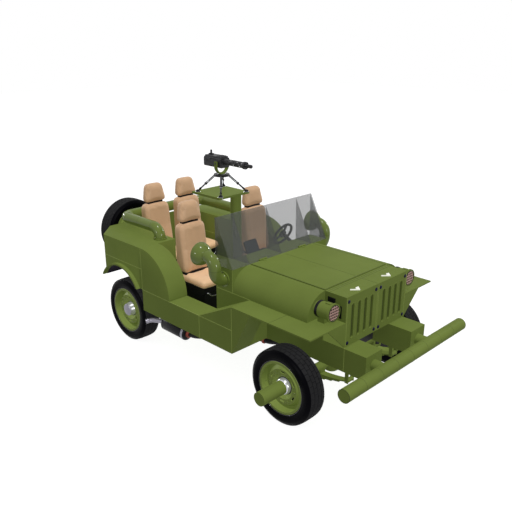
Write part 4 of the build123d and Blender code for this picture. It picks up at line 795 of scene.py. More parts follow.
# ---- forms from outlines ----
def prism(points, start, end, across):
    """A closed prism. Points lie in the XZ plane when across is "y", in XY when it is "z"."""
    place = {"y": lambda p, d: at(p[0], d, p[1]), "z": lambda p, d: at(p[0], p[1], d)}[across]
    mesh = skinned([[place(p, depth) for p in points] for depth in sorted((start, end))])
    bmesh.ops.recalc_face_normals(mesh, faces=mesh.faces)
    return mesh


def arc(centre, radius, start, end, steps):
    """Points on an arc, its angles in radians."""
    angles = [start + (end - start) * k / steps for k in range(steps + 1)]
    return [(centre[0] + radius * cos(a), centre[1] + radius * sin(a)) for a in angles]


def carved(base, added, removed, bevel):
    """The base form with others added and removed, its hard edges softened, as a mesh."""
    body = scratch_object(base)
    tools = [("UNION", scratch_object(form)) for form in added]
    tools += [("DIFFERENCE", scratch_object(form)) for form in removed]
    for operation, tool in tools:
        change = body.modifiers.new("change", "BOOLEAN")
        change.operation = operation
        change.solver = "EXACT"
        change.object = tool
    soft = body.modifiers.new("soft", "BEVEL")
    soft.width = bevel
    soft.segments = 2
    soft.limit_method = "ANGLE"
    soft.angle_limit = radians(30)
    done = applied(body)
    for _, tool in tools:
        bpy.data.objects.remove(tool)
    bpy.data.objects.remove(body)
    return done


def mirrored(mesh):
    """A copy of a mesh on the vehicle's other side."""
    twin = bmesh.new()
    twin.from_mesh(mesh)
    bmesh.ops.scale(twin, vec=(1, -1, 1), verts=twin.verts)
    bmesh.ops.reverse_faces(twin, faces=twin.faces)
    return twin


# ---- body levels and stations ----
SILL_LOW = 0.425
SILL_TOP = 0.63
PLATE_TOP = 0.83
DECK_TOP = 1.03
BODY_SIDE = 0.8
COWL_SIDE = 0.6
LOCKER_SIDE = 0.4
LOCKER_REAR = station_of("rear_quarters", 0)
LOCKER_CORNER = LOCKER_REAR + 0.2
CURVE_START = -0.8          # where the lockers' round front ends begin
SILL_FRONT = 0.4
COWL_FRONT = 0.2
FENDER_SEAM = 0.8
REAR_AXLE = middle_of("tyre_rear_left").x - COWL_REAR_X
GRILLE_BACK = station_of("grille_panel", 0)
GRILLE_FACE = station_of("grille_panel", 1)

# ---- lockers over the rear wheels, with their low arches ----
ARCH_CENTRE = (REAR_AXLE + 0.013, 0.47)
ARCH_RADIUS = 0.312
FLARE_WALL = 0.018
FLARE_REACH = 0.036
ARCH_DEPTH_Y = 0.55
ARCH_STEPS = 40
OVERLAP = 0.05              # how far a form reaches into the one that it joins or cuts


def make_lockers():
    """Both lockers, each with a round front end and a flared arch, and dark sheets in their wells that paint
    the shade there.
    """
    plan = [(CURVE_START, LOCKER_SIDE), (CURVE_START, BODY_SIDE), (LOCKER_CORNER, BODY_SIDE),
        (LOCKER_REAR, COWL_SIDE), (LOCKER_REAR, LOCKER_SIDE)]
    back = CURVE_START - OVERLAP
    hump = [(back, SILL_TOP), *arc((CURVE_START, SILL_TOP), DECK_TOP - SILL_TOP, 0, pi / 2, ARCH_STEPS)]
    hump.append((back, DECK_TOP))
    rise = SILL_TOP - ARCH_CENTRE[1]

    def half_round(radius, first):
        """The arch's line at a radius, from front to rear."""
        return arc(ARCH_CENTRE, radius, first, pi - first, ARCH_STEPS)

    first = asin(rise / ARCH_RADIUS)
    hollow = half_round(ARCH_RADIUS, first)
    lip = half_round(ARCH_RADIUS + FLARE_WALL, asin(rise / (ARCH_RADIUS + FLARE_WALL)))
    well = hollow + [(hollow[-1][0], SILL_TOP - OVERLAP), (hollow[0][0], SILL_TOP - OVERLAP)]
    left = carved(prism(plan, SILL_TOP, DECK_TOP, "z"), [prism(hump, COWL_SIDE, BODY_SIDE, "y"),
        prism(lip + hollow[::-1], BODY_SIDE - FLARE_REACH, BODY_SIDE + FLARE_REACH, "y")],
        [prism(well, ARCH_DEPTH_Y, BODY_SIDE + 2 * FLARE_REACH, "y")], 0.002)
    right = mirrored(left)
    piece("locker_left", left, OLIVE, smooth=32, replaces=("rear_quarters",))
    piece("locker_right", right, OLIVE, smooth=32)
    # Thin dark sheets on the arch's underside, the well's inner wall and the sill's rear end: painted shade.
    shade_arc = half_round(ARCH_RADIUS - 0.0008, first) + half_round(ARCH_RADIUS - 0.0030, first)[::-1]
    rear, front = CURVE_START - 0.003, CURVE_START - 0.0005
    low, high = SILL_LOW + 0.003, SILL_TOP - 0.003
    wall = [(rear, low), (front, low), (front, high), (rear, high)]
    shade_sheets = []
    for side in (1, -1):
        inner, outer = side * ARCH_DEPTH_Y, side * BODY_SIDE
        shade_sheets.append(prism(shade_arc, inner + side * 0.001, outer - side * 0.004, "y"))
        shade_sheets.append(prism(hollow[2:-2], inner + side * 0.0005, inner + side * 0.003, "y"))
        shade_sheets.append(prism(wall, side * COWL_SIDE, outer - side * 0.003, "y"))
    piece("wheel_well_painted_shade", joined(shade_sheets), WELL_SHADE, smooth=40)


make_lockers()

# ---- seams between the body's blocks: raised beads in a paler olive, a painted highlight ----
SEAM_WIDTH = 0.0048
SEAM_PROUD = 0.0007
SEAM_ROOT = 0.0006          # how deep a bead stands in its face
LINE_WIDTH = 0.003          # of the finer dark lines


def strip(start, end, normal, width=SEAM_WIDTH):
    """A thin flat bead from start to end on the face with that normal."""
    start, end = at(*start), at(*end)
    out = Vector(normal)
    side = (end - start).normalized().cross(out) * width / 2
    section = [(-1, -SEAM_ROOT), (1, -SEAM_ROOT), (0.55, SEAM_PROUD), (-0.55, SEAM_PROUD)]
    return skinned([[p + side * u + out * v for u, v in section] for p in (start, end)])


SILL_SEAM = SILL_FRONT - SEAM_WIDTH / 2
COWL_SEAM = COWL_FRONT - SEAM_WIDTH / 2
SIDE_SEAMS = [  # from, to, on the left side; the right side mirrors them
    ((LOCKER_CORNER, BODY_SIDE, PLATE_TOP), (CURVE_START, BODY_SIDE, PLATE_TOP)),
    ((CURVE_START, BODY_SIDE, SILL_TOP), (CURVE_START, BODY_SIDE, DECK_TOP)),
    ((CURVE_START, BODY_SIDE, SILL_TOP), (SILL_FRONT, BODY_SIDE, SILL_TOP)),
    ((0.0, BODY_SIDE, SILL_LOW), (0.0, BODY_SIDE, SILL_TOP)),
    ((SILL_SEAM, BODY_SIDE, SILL_LOW), (SILL_SEAM, BODY_SIDE, PLATE_TOP - 0.012)),
    ((0.0, COWL_SIDE, PLATE_TOP), (SILL_FRONT, COWL_SIDE, PLATE_TOP)),
    ((COWL_SEAM, COWL_SIDE, PLATE_TOP), (COWL_SEAM, COWL_SIDE, DECK_TOP)),
    ((GRILLE_FACE, LOCKER_SIDE, SILL_LOW), (GRILLE_FACE, LOCKER_SIDE, SILL_TOP)),
]


def on_side(point, side):
    """A point of the left side, or its mirror image."""
    return (point[0], side * point[1], point[2])


def make_body_seams():
    pale, dark = [], []
    for side in (1, -1):
        for start, end in SIDE_SEAMS:
            pale.append(strip(on_side(start, side), on_side(end, side), (0, side, 0)))
        dark.append(strip((FENDER_SEAM, side * COWL_SIDE, PLATE_TOP),
            (FENDER_SEAM, side * BODY_SIDE, PLATE_TOP), UP, LINE_WIDTH))
        inner = side * LOCKER_SIDE
        pale.append(strip((CURVE_START, inner, PLATE_TOP), (LOCKER_REAR, inner, PLATE_TOP), (0, -side, 0)))
    nose_rear = station_of("nose_panel", 0)
    half = LOCKER_SIDE - 0.01
    for station in (nose_rear + 0.018, nose_rear + 0.040):
        dark.append(strip((station, -half, DECK_TOP), (station, half, DECK_TOP), UP, 0.004))
    dark.append(strip((nose_rear + 0.044, 0, DECK_TOP), (GRILLE_BACK - 0.002, 0, DECK_TOP), UP, LINE_WIDTH))
    # The beads are real; their paler olive is a painted highlight.
    piece("body_seams", joined(pale), OLIVE_SEAM_HIGHLIGHT, smooth=0)
    piece("deck_seams", joined(dark), OLIVE_DARK, smooth=0)


HOOD_REAR = 0.206
HOOD_TOP = DECK_TOP + 0.005
HOOD_LINE_INSET = 0.004
HOOD_LINE_WIDTH = 0.005


def make_hood_lines():
    low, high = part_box("hood_lid")
    half = (high.y - low.y) / 2
    side_y = half - HOOD_LINE_INSET
    front = station_of("hood_lid", 1) - HOOD_LINE_INSET
    lines = [strip((HOOD_REAR + 0.01, side * side_y, HOOD_TOP), (front, side * side_y, HOOD_TOP), UP,
        HOOD_LINE_WIDTH) for side in (1, -1)]
    lines.append(strip((front, 0.006 - half, HOOD_TOP), (front, half - 0.006, HOOD_TOP), UP,
        HOOD_LINE_WIDTH))
    lines.append(strip((HOOD_REAR + 0.03, 0, HOOD_TOP), (front - 0.006, 0, HOOD_TOP), UP, 0.0022))
    piece("hood_edge_lines", joined(lines), OLIVE_DARK, smooth=0, body="hood")


make_body_seams()
make_hood_lines()

# ---- joints and feet of the round tubes ----
TUBE_RADIUS = 0.052
JOINT_WIRE = 0.0030
JOINT_RADIUS = TUBE_RADIUS - 0.0025
RAIL_Z = 1.13
RAIL_REAR = LOCKER_REAR + 0.1
RAIL_POST = CURVE_START - 0.1
RAIL_SIDE = 0.5
MIRROR_STATION = 0.1
MIRROR_SIDE = 0.7
MIRROR_FOOT_Z = 0.93
FLANGE_WALL = 0.012
JOINT_INSET = 0.095         # of the joints beside a bend, from the bend's corner
BUMPER = (1.507, 0.525)     # station and height of the bumper's tube
BUMPER_HALF = 0.8
BUMPER_STEP = 0.2
FLANGE_BOLTS = 6
FLANGE_BOLT_CIRCLE = 0.0595
FLANGE_BOLT_ACROSS = 0.009
FLANGE_BOLT_HEIGHT = 0.005


def joint(axis, *place):
    """The raised line where two lengths of tube meet."""
    return ring(at(*place), axis, JOINT_RADIUS, JOINT_WIRE, 40)


def flange_bolts(axis, *place):
    """Hexagonal heads in a circle on a flange."""
    turn = Matrix.Translation(at(*place)) @ frame_along(axis)
    heads = []
    for k in range(FLANGE_BOLTS):
        a = 2 * pi * (k + 0.5) / FLANGE_BOLTS
        foot = turn @ Vector((FLANGE_BOLT_CIRCLE * cos(a), FLANGE_BOLT_CIRCLE * sin(a), 0))
        heads.append(hexagon(foot, axis, FLANGE_BOLT_ACROSS, FLANGE_BOLT_HEIGHT))
    return joined(heads)


def make_tube_joints():
    rings, bolts = [], []
    for side in (1, -1):
        for station in (RAIL_POST - JOINT_INSET, (RAIL_POST + RAIL_REAR) / 2, RAIL_REAR + JOINT_INSET):
            rings.append(joint(AHEAD, station, side * RAIL_SIDE, RAIL_Z))
        for y in (RAIL_SIDE - JOINT_INSET, 0.2):
            rings.append(joint(LEFT, RAIL_REAR, side * y, RAIL_Z))
        rings.append(joint(UP, MIRROR_STATION, side * MIRROR_SIDE, (MIRROR_FOOT_Z + RAIL_Z) / 2))
        rings.append(joint(AHEAD, MIRROR_STATION - 0.098, side * MIRROR_SIDE, RAIL_Z))
        bolts.append(flange_bolts((0, side, 0), MIRROR_STATION, side * (COWL_SIDE + FLANGE_WALL),
            MIRROR_FOOT_Z))
        bolts.append(flange_bolts(UP, RAIL_POST, side * RAIL_SIDE, DECK_TOP + FLANGE_WALL))
        for k in range(4):
            rings.append(joint(LEFT, BUMPER[0], side * k * BUMPER_STEP, BUMPER[1]))
        rings.append(joint(LEFT, BUMPER[0], side * (BUMPER_HALF - 0.002), BUMPER[1]))
    piece("tube_joints", joined(rings), OLIVE_DARK, smooth=50)
    piece("flange_bolts", joined(bolts), OLIVE_DARK, smooth=30)


make_tube_joints()

# ---- grille and nose ----
SLOT_PITCH = 0.08
SLOT_LOW = 0.682
SLOT_HIGH = 0.966
LIP_RADIUS = 0.0185         # of the round ends of a slot's raised lip
LIP_WIRE = 0.0024
SLOT_MARGIN = 0.014         # what a slot's dark back stands over above and below
SLOT_BACK_HALF = 0.030
BORDER_SIDE = 0.388         # the border lines beside the grille's edge and its middle, their paleness a painted highlight
BORDER_MIDDLE = 0.008
GRILLE_BOLTS = [(y, z) for z in (0.991, 0.656) for y in (-0.370, -0.030, 0.030, 0.370)]
HOOKS = [(1.126, -0.263), (1.123, 0.144)]   # station and Y of each latch hook on the nose


def slot_lip(y):
    """A raised bead round one slot of the grille."""
    half = LIP_RADIUS
    points = arc((y, SLOT_HIGH - half), half, 0, pi, 10) + arc((y, SLOT_LOW + half), half, pi, 2 * pi, 10)
    return tube([at(GRILLE_FACE + 0.0004, *p) for p in points], LIP_WIRE, 8, closed=True)


def hook(station, y):
    """A flat hooked latch that lies on the nose."""
    outline = [(0.004, -0.004), (0.055, 0.050), (0.008, 0.092), (0.004, 0.060), (0.028, 0.040),
        (-0.004, 0.004)]
    return prism([(station + p, y + q) for p, q in outline], DECK_TOP + 0.0002, DECK_TOP + 0.007, "z")


def make_grille():
    backs, lips = [], []
    for step in (1, 2, 3, 4, -1, -2, -3, -4):
        y = step * SLOT_PITCH
        lips.append(slot_lip(y))
        backs.append(box(at(GRILLE_BACK - 0.0035, y - SLOT_BACK_HALF, SLOT_LOW - SLOT_MARGIN),
            at(GRILLE_BACK - 0.0003, y + SLOT_BACK_HALF, SLOT_HIGH + SLOT_MARGIN), 0.001, 1))
    piece("grille_slot_backs", joined(backs), OLIVE_DARK, smooth=30)
    piece("grille_slot_lips", joined(lips), OLIVE, smooth=50)
    head = [(0, 0), (0, 0.0145), (0.0014, 0.0150), (0.0036, 0.0135), (0.0066, 0.0085), (0.0078, 0)]
    heads = [revolved(head, 24, AHEAD, at(GRILLE_FACE, y, z)) for y, z in GRILLE_BOLTS]
    piece("grille_bolts", joined(heads), BLUED, smooth=40)
    low, high = SILL_TOP + 0.012, DECK_TOP - 0.006
    borders = []
    for y, width in ((BORDER_SIDE, 0.004), (BORDER_MIDDLE, LINE_WIDTH)):
        borders += [strip((GRILLE_FACE, side * y, low), (GRILLE_FACE, side * y, high), AHEAD, width)
            for side in (1, -1)]
    # Border lines in the paler olive: a painted highlight along the grille's edge and middle.
    piece("grille_borders", joined(borders), OLIVE_SEAM_HIGHLIGHT, smooth=0)
    piece("nose_hooks", joined([hook(*place) for place in HOOKS]), PALE, smooth=30)


make_grille()

# ---- headlamps ----
LAMP_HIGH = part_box("headlamps")[1]
LAMP_RIM_RADIUS = 0.073
LAMP_RADIUS = 0.062
LAMP_OPEN = 0.058           # inside of the can
LAMP_SIDE = LAMP_HIGH.y - LAMP_RIM_RADIUS
LAMP_Z = LAMP_HIGH.z - LAMP_RIM_RADIUS
LAMP_BACK = station_of("headlamps", 0)
LAMP_FACE = station_of("headlamps", 1)
BOWL_DEPTH = 0.062
GUARD_PITCH = 0.022
GUARD_BARS = 5
GUARD_COVER = 0.0025        # half side of the bars that cover the cast ones
GUARD_DEPTH = (-0.0045, 0.0006)
BLOCK_GAP = 0.0002          # between the dark blocks behind a lamp and the hood's side
LAMP_SEGMENTS = 48


def lamp_guard(centre):
    """Crossed bars over the open face of a lamp."""
    back, front = GUARD_DEPTH
    bars = []
    for index in range(GUARD_BARS):
        offset = (index - (GUARD_BARS - 1) / 2) * GUARD_PITCH
        reach = sqrt(LAMP_OPEN ** 2 - offset ** 2) + 0.0008
        low, high = offset - GUARD_COVER, offset + GUARD_COVER
        for start, end in (((low, -reach), (high, reach)), ((-reach, low), (reach, high))):
            bars.append(box(centre + Vector((back, *start)), centre + Vector((front, *end)), 0.0012))
    return joined(bars)


def make_lamps():
    floor, top = 0.0008 - BOWL_DEPTH, LAMP_Z + LAMP_RADIUS
    bowl = [(floor, 0.0095), (floor, 0.021), (-0.050, 0.0315), (-0.034, 0.0432), (-0.018, 0.0512),
        (-0.0055, 0.0573), (-0.0050, 0.0576), (-0.0062, 0.0560), (-0.019, 0.0500), (-0.035, 0.0420),
        (-0.051, 0.0300), (floor + 0.0014, 0.0200), (floor + 0.0014, 0.0095)]
    lens = [(-0.0130, 0.0), (-0.0100, 0.028), (-0.0070, 0.0525), (-0.0056, 0.0525), (-0.0080, 0.028),
        (-0.0106, 0.0)]
    band = [(0, LAMP_RADIUS - 0.0006), (0.0015, LAMP_RADIUS + 0.0022), (0.018, LAMP_RADIUS + 0.0030),
        (0.024, LAMP_RADIUS + 0.0008), (0.024, LAMP_RADIUS - 0.0006)]
    for name, side in SIDES:
        y = side * LAMP_SIDE
        centre = at(LAMP_FACE, y, LAMP_Z)
        piece("lamp_guard_" + name, lamp_guard(centre), GUARD, smooth=40)
        piece("lamp_bowl_" + name, revolved(bowl, LAMP_SEGMENTS, AHEAD, centre, closed=True), GUN_DARK,
            smooth=50, slot="bright_metal")
        piece("lamp_lens_" + name, revolved(lens, LAMP_SEGMENTS, AHEAD, centre), LENS, smooth=50)
        bezel = ring(centre + Vector((0.0003, 0, 0)), AHEAD, 0.0600, 0.0028, 56, 10)
        piece("lamp_bezel_" + name, bezel, BLACK, smooth=50)
        near = side * (LOCKER_SIDE + BLOCK_GAP)
        backs = [revolved(band, LAMP_SEGMENTS, AHEAD, at(LAMP_BACK + 0.018, y, LAMP_Z), closed=True),
            box(at(1.030, near, 0.905), at(1.100, side * 0.4055, 0.995)),
            box(at(1.085, near, 0.850), at(1.160, side * 0.4040, 0.950)),
            box(at(1.028, near, 0.906), at(1.100, side * 0.445, 0.954), 0.003)]
        piece("lamp_back_" + name, joined(backs), BLACK, smooth=40)
        cap = box(at(1.095, y - 0.016, top - 0.004), at(1.140, y + 0.016, top + 0.007), 0.003)
        clamp = bar(at(1.118, y, top + 0.006), at(1.118, y, top + 0.0095), 0.006, 16)
        piece("lamp_clip_" + name, joined([cap, clamp]), OLIVE, smooth=40)


make_lamps()

# ---- mirrors ----
MIRROR_FACE = -0.08
MIRROR_RADIUS = 0.098
NECK_OFFSET = 0.083
BACKWARD = (-1, 0, 0)


def make_mirrors():
    glass = [(0.0, 0.0), (0.0, 0.0885), (0.0052, 0.0885), (0.0060, 0.0870), (0.0064, 0.0)]
    edge = [(-0.0060, MIRROR_RADIUS - 0.0004), (-0.0060, MIRROR_RADIUS + 0.0012),
        (0.0050, MIRROR_RADIUS + 0.0008), (0.0072, MIRROR_RADIUS - 0.0020), (0.0072, 0.0890),
        (0.0, 0.0890)]
    for name, side in SIDES:
        centre = at(MIRROR_FACE, side * MIRROR_SIDE, RAIL_Z)
        piece("mirror_glass_" + name, revolved(glass, 56, BACKWARD, centre), MIRROR, smooth=30)
        piece("mirror_edge_" + name, revolved(edge, 56, BACKWARD, centre, closed=True), OLIVE_GLOSS,
            smooth=40)
        neck = ring(centre + Vector((NECK_OFFSET, 0, 0)), AHEAD, 0.0535, 0.0040, 44, 10)
        piece("mirror_neck_" + name, neck, OLIVE_GLOSS, smooth=50)


make_mirrors()

# ---- dash: display and steering wheel ----
DISPLAY_SIDE = -0.14
DISPLAY_HALF = 0.07
DISPLAY_HEIGHT = 0.148
DISPLAY_FOOT_Z = 0.99
RAKE = radians(-26.6)
COLUMN_TILT = radians(25)
STEERING = (-0.17, 0.4, 1.04)
GRIP_RADIUS = 0.109
GRIP_WIRE = 0.0125
SPOKE_STATIONS = [(0.030, 0.017), (0.06, 0.0115), (0.102, 0.0125)]   # from the middle, half width
SPOKE_SECTION = [  # across, as a share of the half width, and along the column
    (-1, -0.0055), (-0.7, -0.0062), (0.7, -0.0062), (1, -0.0055), (1, 0.0055), (0.7, 0.0068), (-0.7, 0.0068),
    (-1, 0.0055)]


def make_display():
    """The dark display on the dash, as rounded plates one behind the other."""
    turn = Matrix.Translation(at(-0.0003, DISPLAY_SIDE, DISPLAY_FOOT_Z)) @ Matrix.Rotation(RAKE, 4, "Y")
    corner, half, high = 0.018, DISPLAY_HALF + 0.003, DISPLAY_HEIGHT + 0.003
    outline = []
    for y, z, first in ((half - corner, high - corner, 0), (corner - half, high - corner, pi / 2),
            (corner - half, corner, pi), (half - corner, corner, 3 * pi / 2)):
        outline += arc((y, z), corner, first, first + pi / 2, 8)
    for name, front, back, inset, finish in (("display_body", 0.002, -0.0165, 0.0, BLACK),
            ("display_screen", -0.0166, -0.0180, 0.009, SCREEN_BLACK),
            ("display_back", 0.0032, 0.0021, 0.007, SCREEN_BLACK)):
        wide, tall = (half - inset) / half, (high - 2 * inset) / high
        plate = [(y * wide, high / 2 + (z - high / 2) * tall) for y, z in outline]
        rings = [[turn @ Vector((depth, y, z)) for y, z in plate] for depth in (back, front)]
        piece(name, skinned(rings), finish, smooth=30)


def make_steering_wheel():
    centre = at(*STEERING)
    axis = Vector((-cos(COLUMN_TILT), 0, sin(COLUMN_TILT)))
    piece("steering_grip", ring(centre, axis, GRIP_RADIUS, GRIP_WIRE, 64, 14), BLACK, smooth=60,
        body="steering")
    boss = [(-0.011, 0.0), (-0.011, 0.036), (0.008, 0.040), (0.014, 0.037), (0.018, 0.028), (0.0195, 0.0)]
    piece("steering_boss", revolved(boss, 40, axis, centre), BLACK, smooth=40, body="steering")
    across = Vector(LEFT)
    up = axis.cross(across).normalized()
    spokes = []
    for degree in (90, 210, 330):
        a = radians(degree)
        out = across * cos(a) - up * sin(a)
        flat = axis.cross(out)
        rings = [[centre + out * reach + flat * u * wide + axis * v for u, v in SPOKE_SECTION]
            for reach, wide in SPOKE_STATIONS]
        spokes.append(skinned(rings))
    piece("steering_spokes", joined(spokes), BLACK, smooth=40, body="steering")


make_display()
make_steering_wheel()

# ---- seat fittings ----
LEVER_RADIUS = 0.0038
LEVER_FOOT = (0.0, 0.095, 0.0)          # ahead of the lever's stud, to the side, and down
LEVER_KNEE = (0.010, 0.060, -0.032)
LEVER_HAND = (0.014, 0.02, -0.036)


def make_seat_fittings():
    """Black blocks that paint the shade in the gaps under the headrests and at the backs' feet, and a bent
    lever under each cushion.
    """
    shade_blocks, levers = [], []
    top = BACK_LOW + BACK_HEIGHT
    stud = [(0, 0), (0, 0.008), (0.003, 0.008), (0.005, 0.005), (0.005, 0)]
    for _, station, y in SEAT_PLACES:
        foot = station + BACK_X
        middle, half = foot - 0.040, SEAT_HALF_WIDTH - 0.010
        shade_blocks.append(box(at(middle - 0.026, y - 0.088, top - 0.022),
            at(middle + 0.024, y + 0.088, top + 0.030), 0.008, 3))
        shade_blocks.append(box(at(foot - 0.055, y - half, BACK_LOW - 0.006),
            at(foot + 0.060, y + half, BACK_LOW + 0.010), 0.004))
        start = at(station + CUSHION_LENGTH / 2 - 0.012, y, CUSHION_LOW - 0.045)
        foot, knee, hand = [[start + Vector(on_side(p, side)) for side in (1, -1)]
            for p in (LEVER_FOOT, LEVER_KNEE, LEVER_HAND)]
        levers += [bar(foot[k], knee[k], LEVER_RADIUS, 12) for k in (0, 1)]
        levers.append(tube([knee[1], hand[1], hand[0], knee[0]], LEVER_RADIUS, 12))
        levers += [revolved(stud, 20, AHEAD, place - Vector((0.0005, 0, 0))) for place in foot]
    # The black blocks in the gaps are painted shade.
    piece("seat_gap_shade", joined(shade_blocks), BLACK, smooth=40)
    piece("seat_levers", joined(levers), STEEL, smooth=50)


make_seat_fittings()

# ---- gun and its stand ----
STAND_X = -0.58
HEAD_LOW = 1.60
HEAD_RADIUS = 0.072
PLATFORM_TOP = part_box("gun_platform")[1].z
FOOT_SPREAD = 0.16
HIP_SPREAD = 0.042
FOOT_RISE = 0.009
BORE_Z = 1.738
RECEIVER_REAR = -0.766
RECEIVER_HALF = 0.054
RIVETS = [(-0.748, 1.700), (-0.748, 1.748), (-0.700, 1.694), (-0.552, 1.694), (-0.552, 1.742)]
HANDLE = (-0.655, 1.760)    # station and height of the cocking handle
GRIP_SIDE = 0.030           # of the two upright grips behind the receiver
GRIP_TOP = 1.748


def make_stand_trim():
    """Feet, knees, rods and head rings of the four-legged stand."""
    dark, pale, rods = [], [], []
    plate = [(0.0002, 0), (0.0002, 0.0245), (0.0018, 0.0250), (0.0034, 0.0240), (0.0034, 0)]
    pad = [(0.0034, 0.0), (0.0034, 0.0205), (0.0100, 0.0200), (0.0165, 0.0165), (0.0205, 0.0095),
        (0.0215, 0)]
    for side_x, side_y in ((1, 1), (1, -1), (-1, 1), (-1, -1)):
        foot = at(STAND_X + side_x * FOOT_SPREAD, side_y * FOOT_SPREAD, PLATFORM_TOP)
        hip = at(STAND_X + side_x * HIP_SPREAD, side_y * HIP_SPREAD, HEAD_LOW + 0.010)
        ankle = foot + Vector((0, 0, FOOT_RISE))
        pale.append(revolved(plate, 28, UP, foot))
        dark.append(revolved(pad, 28, UP, foot))
        leg = hip - ankle
        along = leg.normalized()
        lift = along.cross(Vector((side_x, side_y, 0)).normalized()).normalized()
        over = lift.cross(along).normalized() * 0.001
        for twin in (1, -1):
            shift = lift * twin * 0.0095
            rods.append(bar(ankle + leg * 0.42 + shift, ankle + leg * 0.93 + shift, 0.0032, 12))
        knee = ankle + leg * 0.47
        dark.append(bar(knee - lift * 0.016, knee + lift * 0.016, 0.0055, 14))
        spring = ankle + leg * 0.10
        dark.append(bar(spring, spring + along * 0.020, 0.0098, 16))
        pale.append(bar(ankle + leg * 0.40 + over, ankle + leg * 0.415 + over, 0.0108, 16))
    centre = at(STAND_X, 0, HEAD_LOW)
    under = [(-0.0040, 0.0), (-0.0040, 0.048), (-0.0012, 0.052), (-0.0002, 0.052), (-0.0002, 0)]
    over_ring = [(0.0202, 0.026), (0.0202, 0.040), (0.0216, 0.041), (0.0222, 0.038), (0.0222, 0.026)]
    pale.append(revolved(under, 40, UP, centre))
    dark.append(ring(centre + Vector((0, 0, 0.010)), UP, HEAD_RADIUS - 0.0015, 0.0042, 48, 10))
    pale.append(revolved(over_ring, 40, UP, centre, closed=True))
    piece("stand_dark_trim", joined(dark), BLACK, smooth=45)
    piece("stand_discs", joined(pale), STEEL, smooth=45)
    piece("stand_rods", joined(rods), STEEL, smooth=45)


def make_gun_fittings():
    """Rivets, side rails, cocking handle, grips and feed block on the receiver."""
    rivet = [(0, 0), (0, 0.0042), (0.0015, 0.0040), (0.0026, 0.0022), (0.0028, 0)]
    knob = [(0, 0), (0, 0.005), (0.004, 0.0068), (0.012, 0.0068), (0.016, 0.004), (0.016, 0)]
    parts = []
    for side in (1, -1):
        face = side * RECEIVER_HALF
        parts += [revolved(rivet, 14, (0, side, 0), at(x, face, z)) for x, z in RIVETS]
        parts.append(box(at(-0.735, face, 1.7560), at(-0.600, face + side * 0.004, 1.7640), 0.0015))
    handle = at(HANDLE[0], -RECEIVER_HALF - 0.003, HANDLE[1])
    parts.append(bar(handle, handle - Vector((0, 0.020, 0)), 0.0036, 14))
    parts.append(revolved(knob, 20, (0, -1, 0), handle - Vector((0, 0.016, 0))))
    for side in (1, -1):
        y = side * GRIP_SIDE
        parts.append(bar(at(RECEIVER_REAR - 0.018, y, GRIP_TOP),
            at(RECEIVER_REAR - 0.018, y, GRIP_TOP - 0.062), 0.0080, 16, 0.003))
        for z in (GRIP_TOP - 0.004, GRIP_TOP - 0.058):
            parts.append(bar(at(RECEIVER_REAR + 0.001, y, z), at(RECEIVER_REAR - 0.019, y, z), 0.0042, 12))
    parts.append(box(at(RECEIVER_REAR - 0.012, -0.006, 1.704), at(RECEIVER_REAR, 0.006, 1.732)))
    parts.append(box(at(-0.640, RECEIVER_HALF - 0.001, 1.722), at(-0.570, RECEIVER_HALF + 0.010, 1.746)))
    piece("gun_fittings", joined(parts), GUN_DARK, body="gun")


def make_muzzle():
    sleeve = [(0, 0.0145), (0, 0.0158), (0.004, 0.0166), (0.022, 0.0166), (0.026, 0.0158),
        (0.034, 0.0158), (0.038, 0.0166), (0.052, 0.0166), (0.055, 0.0152), (0.055, 0.0088),
        (0.045, 0.0080), (0.045, 0.0145)]
    foot = Vector((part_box("gun")[1].x - 0.0545, 0, BORE_Z))
    piece("gun_muzzle", revolved(sleeve, 36, AHEAD, foot, closed=True), GUN_DARK, body="gun")


make_stand_trim()
make_gun_fittings()
make_muzzle()

# ---- exhaust, close under the right sill ----
SILENCER = (-0.61, -0.285)
SILENCER_Y = -0.70
SILENCER_Z = 0.33
SILENCER_RADIUS = 0.062
PIPE_RADIUS = 0.020
TAIL_RADIUS = PIPE_RADIUS + 0.002
TAIL_ROUTE = [(-0.606, -0.70, 0.33), (-0.655, -0.706, 0.33), (-0.730, -0.728, 0.322),
    (-0.778, -0.745, 0.314), (-0.795, -0.790, 0.306)]
FRONT_ROUTE = [(-0.29, -0.70, 0.33), (-0.18, -0.70, 0.335), (-0.02, -0.62, 0.37), (0.12, -0.46, 0.38),
    (0.26, -0.40, 0.385), (0.48, -0.40, 0.40), (0.58, -0.30, 0.46)]
CAN_END = [  # from the silencer's end, and in from its radius
    (0, 0.022), (0.004, 0.008), (0.012, 0.001), (0.018, 0), (0.024, 0.0025), (0.030, 0)]


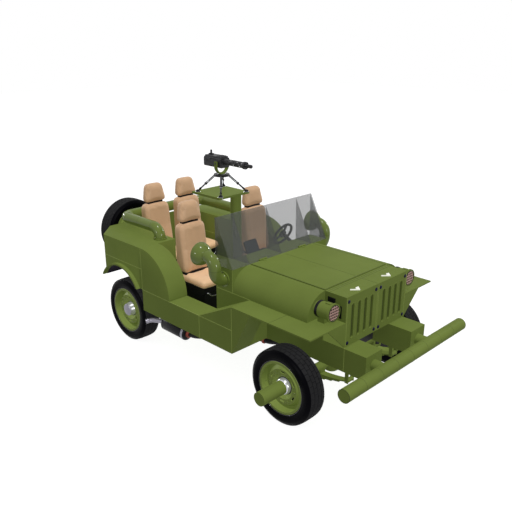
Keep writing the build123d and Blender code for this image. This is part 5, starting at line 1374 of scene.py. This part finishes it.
def collar_band(centre, axis, radius, half, proud):
    """A rounded band round a pipe."""
    end = [(half, radius - 0.0006), (half, radius + proud * 0.6), (half * 0.6, radius + proud)]
    profile = [(-x, r) for x, r in end] + end[::-1]
    return revolved(profile, 40, axis, centre, closed=True)


def make_exhaust():
    rear, front = SILENCER
    end = [(0, 0)] + [(x, SILENCER_RADIUS - inset) for x, inset in CAN_END]
    can = end + [(front - rear - x, r) for x, r in end[::-1]]
    dark = [revolved(can, 48, AHEAD, at(rear, SILENCER_Y, SILENCER_Z)),
        tube([at(*p) for p in softened(FRONT_ROUTE, 3)], PIPE_RADIUS, 16)]
    for station in (rear + 0.07, front - 0.07):
        dark.append(box(at(station - 0.012, SILENCER_Y - 0.004, SILENCER_Z + SILENCER_RADIUS - 0.006),
            at(station + 0.012, SILENCER_Y + 0.004, SILL_LOW - 0.0004)))
    piece("exhaust_silencer", joined(dark), BLACK, smooth=40, slot="dark_iron", replaces=("exhaust",))
    route = [at(*p) for p in softened(TAIL_ROUTE, 3)]
    end = route[-1]
    out = (end - route[-2]).normalized()
    # A thin black disc on the tail pipe's closed end: painted shade for the inside of the open pipe.
    hole = [(0, 0), (0, PIPE_RADIUS - 0.002), (0.0008, PIPE_RADIUS - 0.002), (0.0008, 0)]
    piece("exhaust_tail", tube(route, TAIL_RADIUS, 24), DULL_STEEL, smooth=40)
    piece("exhaust_mouth_shade", revolved(hole, 24, out, end - out * 0.0002), BLACK, smooth=40, slot="dark_iron")
    ridge = collar_band(at(front - 0.020, SILENCER_Y, SILENCER_Z), AHEAD, SILENCER_RADIUS, 0.012, 0.004)
    piece("silencer_band", ridge, DULL_STEEL, smooth=40)
    clamps = [collar_band(at(rear - 0.012, SILENCER_Y, SILENCER_Z), AHEAD, TAIL_RADIUS, 0.010, 0.008),
        collar_band(at(front + 0.018, SILENCER_Y, SILENCER_Z), AHEAD, PIPE_RADIUS, 0.014, 0.013),
        collar_band(at(0.37, -0.40, 0.3925), (1, 0, 0.07), PIPE_RADIUS, 0.012, 0.008)]
    piece("exhaust_clamps", joined(clamps), RED_OXIDE, smooth=40)


make_exhaust()
